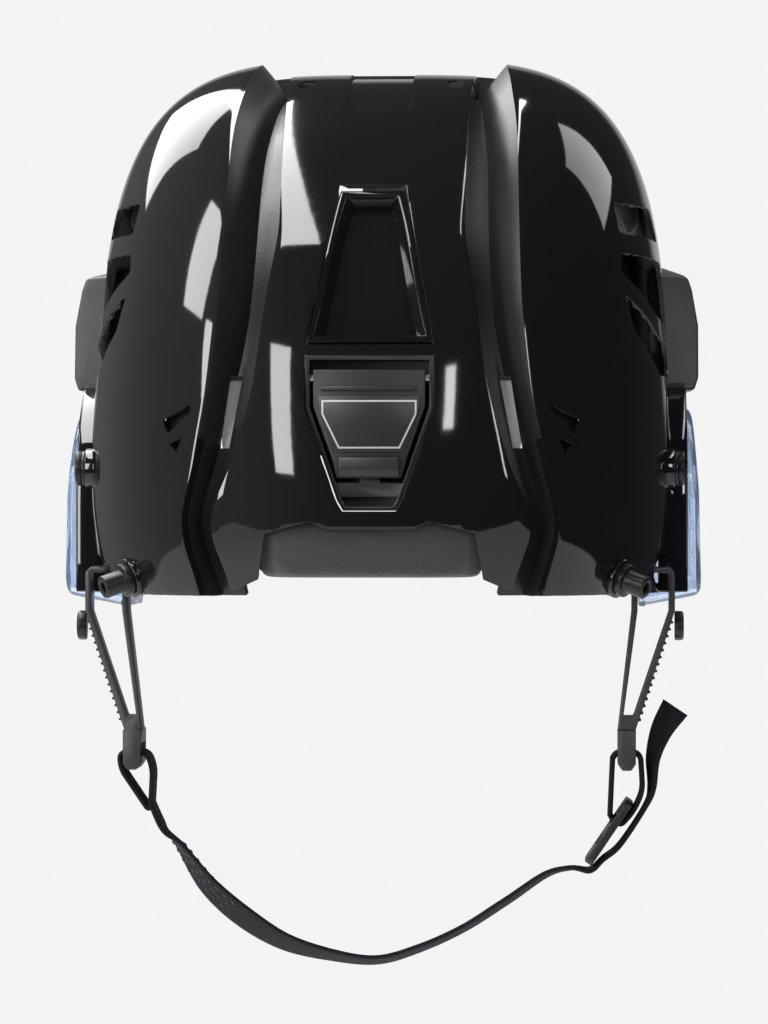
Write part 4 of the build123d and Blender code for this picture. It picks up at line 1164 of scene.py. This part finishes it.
def curve_through(points, steps, closed=False):
    """Points of a smooth curve through the given points."""
    count = len(points)
    spans = count if closed else count - 1
    out = []
    for i in range(spans):
        p = [points[(i + k) % count] if closed else points[min(max(i + k, 0), count - 1)]
             for k in (-1, 0, 1, 2)]
        for step in range(steps):
            t = step / steps
            out.append(0.5 * (2 * p[1] + (p[2] - p[0]) * t
                              + (2 * p[0] - 5 * p[1] + 4 * p[2] - p[3]) * t * t
                              + (3 * p[1] - p[0] - 3 * p[2] + p[3]) * t ** 3))
    if not closed:
        out.append(points[-1].copy())
    return out


def ribbon(name, points, twists, closed=False):
    """A flat band with rolled edges; its UV map holds metres across and along."""
    across_steps = 12
    half = webbing_width / 2
    lengths = [0.0]
    for a, b in zip(points, points[1:]):
        lengths.append(lengths[-1] + (b - a).length)
    rings = []
    for i, point in enumerate(points):
        before = points[i - 1] if i or closed else points[0]
        after = points[(i + 1) % len(points)] if closed else points[min(i + 1, len(points) - 1)]
        along = (after - before).normalized()
        wide = (Vector((0, 1, 0)) - along * along.y).normalized()
        wide.rotate(Matrix.Rotation(math.radians(twists[i]), 3, along))
        normal = along.cross(wide)
        ring = []
        for k in range(across_steps * 2 + 2):
            turn = 2 * math.pi * (k + 0.5) / (across_steps * 2 + 2)
            w = math.copysign(abs(math.cos(turn)) ** 0.45, math.cos(turn)) * half
            h = math.copysign(abs(math.sin(turn)) ** 0.55, math.sin(turn)) * webbing_thick / 2
            ring.append((point + wide * w + normal * h, w))
        rings.append(ring)
    around = len(rings[0])
    rows = len(rings) if closed else len(rings) - 1
    piece = primitive(bpy.ops.mesh.primitive_grid_add, name, x_subdivisions=around,
                      y_subdivisions=rows, size=2)
    widths = {}
    for vertex in piece.data.vertices:
        i = round((vertex.co.x + 1) / 2 * around)
        j = round((vertex.co.y + 1) / 2 * rows)
        spot, w = rings[j % len(rings)][i % around]
        total = lengths[j] if j < len(lengths) else lengths[-1] + (points[0] - points[-1]).length
        widths[vertex.index] = (w * MM, total * MM)
        vertex.co = spot * MM
    layer = piece.data.uv_layers.active or piece.data.uv_layers.new(name="weave")
    for loop in piece.data.loops:
        layer.data[loop.index].uv = widths[loop.vertex_index]
    weld(piece, 0.02)
    if not closed:
        alone(piece)
        bpy.ops.object.mode_set(mode="EDIT")
        bpy.ops.mesh.select_mode(type="EDGE")
        bpy.ops.mesh.select_all(action="DESELECT")
        bpy.ops.mesh.select_non_manifold()
        bpy.ops.mesh.edge_face_add()
        settle()
    face_out(piece)
    smooth(piece, 60)
    coat(piece, webbing)
    return piece


strap_span = 72.5
strap_drop = 157.0
strap_forward = 22.0
route = [
    (-1.055, 0.645, 0), (-1.0, 0.70, 0), (-0.93, 0.735, 0.1), (-0.80, 0.825, 0.3),
    (-0.64, 0.897, 0.55), (-0.46, 0.952, 0.8), (-0.25, 0.982, 0.95), (-0.03, 0.994, 1.0),
    (0.17, 0.968, 0.95), (0.38, 0.922, 0.8), (0.58, 0.860, 0.5), (0.76, 0.801, 0.2),
    (0.88, 0.783, 0), (0.968, 0.787, 0), (1.028, 0.763, 0), (1.108, 0.731, 0),
    (1.222, 0.651, 0), (1.252, 0.611, 0), (1.258, 0.548, 0), (1.297, 0.490, 0),
    (1.361, 0.441, 0),
]
route_twists = (
    0, 0, -12, -28, -32, -26, -18, -13, -11, -10, -10, -8, -5, 0, 0, 0, 0, 6, 14, 24, 34,
)
route_points = [Vector((x * strap_span, slot_y + y * strap_forward, -z * strap_drop))
                for x, z, y in route]
fine_steps = 14
fine_route = curve_through(route_points, fine_steps)
fine_twists = [v.x for v in curve_through([Vector((t, 0, 0)) for t in route_twists], fine_steps)]
loop_half = 4.6
loop_drop = 24.3
hanger_foot = -90.0
hanger_bar = 4.4
loop_play = 0.4
loop_top = hanger_foot + hanger_bar + webbing_thick / 2 + loop_play


def folded(name, shares, side):
    """Webbing folded round a hanger's foot, seen from behind as a loop."""
    outline = rounded([((hanger_foot_middle + x * loop_half) * side, loop_top + z * loop_drop)
                       for x, z in shares], 3.0, 6)
    points = curve_through([Vector((x, slot_y, z)) for x, z in outline], 2, closed=True)
    return ribbon(name, points, [0] * len(points), closed=True)


def stitch(spot, way, normal, length):
    """One stitch of thick thread, lying on the webbing."""
    piece = primitive(bpy.ops.mesh.primitive_uv_sphere_add, "stitch", segments=8,
                      ring_count=6, radius=1)
    side_way = way.cross(normal)
    for vertex in piece.data.vertices:
        x, y, z = vertex.co
        vertex.co = (spot + way * x * length / 2 + side_way * y * 0.3 + normal * z * 0.35) * MM
    smooth(piece, 80)
    return piece


chin = ribbon("chin_webbing_ribbon", fine_route, fine_twists)
stitched = folded("stitched_loop", [
    (-1.0, 0), (1.0, 0), (0.87, -0.235), (-1.26, -0.83), (-1.43, -0.235)], -1)
chin = join([chin, stitched], "chin_webbing_piece")
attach(chin, "strap")
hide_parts("chin_webbing")
short_loop = folded("buckle_loop_piece", [
    (-1.0, 0), (1.0, 0), (1.16, -0.52), (0.52, -0.794), (-0.45, -1.0), (-1.22, -0.889)], 1)
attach(short_loop, "strap")
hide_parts("buckle_loop")

# Box of stitches where the webbing is sewn back on itself
stitches = []
stitch_lanes = (-5.6, -1.9, 1.9, 5.6)
stitch_length = 1.7
for spot_index in range(2 * fine_steps, 4 * fine_steps - 4, 3):
    spot = fine_route[spot_index]
    along = (fine_route[spot_index + 1] - fine_route[spot_index - 1]).normalized()
    wide = (Vector((0, 1, 0)) - along * along.y).normalized()
    wide.rotate(Matrix.Rotation(math.radians(fine_twists[spot_index]), 3, along))
    normal = along.cross(wide)
    for lane in stitch_lanes:
        for face in (-1, 1):
            stitches.append(stitch(spot + wide * lane + normal * face * webbing_thick / 2,
                                   along, normal * face, stitch_length))
sewn = join(stitches, "strap_stitches")
coat(sewn, thread)
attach(sewn, "strap")


# Floor, backdrop and lights
backdrop = (0.9, 0.9, 0.9, 1)


def mixed(tree, share, first, second):
    return add_node(tree, "MixShader", share, first, second).outputs[0]


def background(tree, colour, strength):
    return add_node(tree, "Background", Color=colour, Strength=strength).outputs[0]


floor = primitive(bpy.ops.mesh.primitive_plane_add, "studio_floor", size=2.4)
for vertex in floor.data.vertices:
    vertex.co.z = -0.5
    vertex.co.y += 0.2
pale_floor, tree, shader = finish("pale_floor", (0.80, 0.80, 0.80), 0.8)
where = coords(tree)
two_tone(tree, shader, noise(tree, where, 3.0), (0.78, 0.78, 0.78), (0.82, 0.82, 0.82))
# Towards its rim the floor takes the backdrop's own brightness, so its edge isn't seen
reach = add_node(tree, "VectorMath", where)
reach.operation = "LENGTH"
rim = spread(tree, reach.outputs["Value"], 0.0, 1.0, 0.5, 0.7 / 0.6)
glow = add_node(tree, "Emission", backdrop)
out = next(node for node in tree.nodes if node.type == "OUTPUT_MATERIAL")
feed(tree, out.inputs["Surface"], mixed(tree, rim, shader.outputs[0], glow.outputs[0]))
coat(floor, pale_floor)

bpy.context.scene.view_settings.view_transform = "Standard"
world = bpy.data.worlds.new("studio")
bpy.context.scene.world = world
world.use_nodes = True
tree = world.node_tree
tree.nodes.clear()
# Polished faces mirror a dim studio, paler straight beyond the helmet and to the left
way = parts_of(tree, coords(tree, "Generated"))
ahead = spread(tree, way[1], 0.01, 0.5, 0.93, 0.99, "SMOOTHSTEP")
leftward = spread(tree, way[0], 0.03, 0.30, 0.1, -0.95, "SMOOTHSTEP")
mirrored = background(tree, maths(tree, "MAXIMUM", ahead, leftward), 1.0)
ray = add_node(tree, "LightPath").outputs
room = mixed(tree, ray["Is Glossy Ray"], background(tree, (0.9, 0.92, 0.95, 1), 0.45), mirrored)
clear = maths(tree, "MAXIMUM", ray["Is Camera Ray"], ray["Is Transmission Ray"])
add_node(tree, "OutputWorld", mixed(tree, clear, room, background(tree, backdrop, 1.0)))

# Name, place, aim, size and power of each lamp
lamps = (
    ("beyond_left", (-0.72, 0.92, 0.92), (0, 0, 0.08), (0.75, 0.70), 9),
    ("overhead_left", (-0.35, 0.15, 1.25), (-0.35, 0.15, 0), (0.30, 1.9), 24),
    ("side_left", (-1.15, -0.35, 0.95), (0, 0, 0), (0.35, 0.7), 9),
    ("strip_left", (-1.30, -0.75, 0.25), (0, 0, 0), (0.16, 0.9), 6),
    ("behind_left", (-0.64, -1.48, 0.32), (0, 0, 0), (0.20, 0.85), 7),
    ("overhead_right", (0.36, 0.15, 1.30), (0.36, 0.15, 0), (0.05, 1.7), 3),
    ("beyond_right", (0.95, 0.72, 0.92), (0, 0, 0.05), (0.55, 0.60), 2.4),
    ("strip_right", (1.05, -1.15, 0.30), (0, 0, 0), (0.07, 0.9), 2.5),
    ("behind_right", (0.45, -1.62, 0.42), (0, 0, 0), (0.10, 0.45), 2.2),
)
for name, place_at, aim, size, power in lamps:
    data = bpy.data.lights.new(name, "AREA")
    data.shape = "RECTANGLE"
    data.size, data.size_y = size
    data.energy = power
    lamp = bpy.data.objects.new(name, data)
    bpy.context.scene.collection.objects.link(lamp)
    lamp.location = place_at
    lamp.visible_camera = False
    lamp.rotation_euler = (Vector(aim) - Vector(place_at)).to_track_quat("-Z", "Y").to_euler()
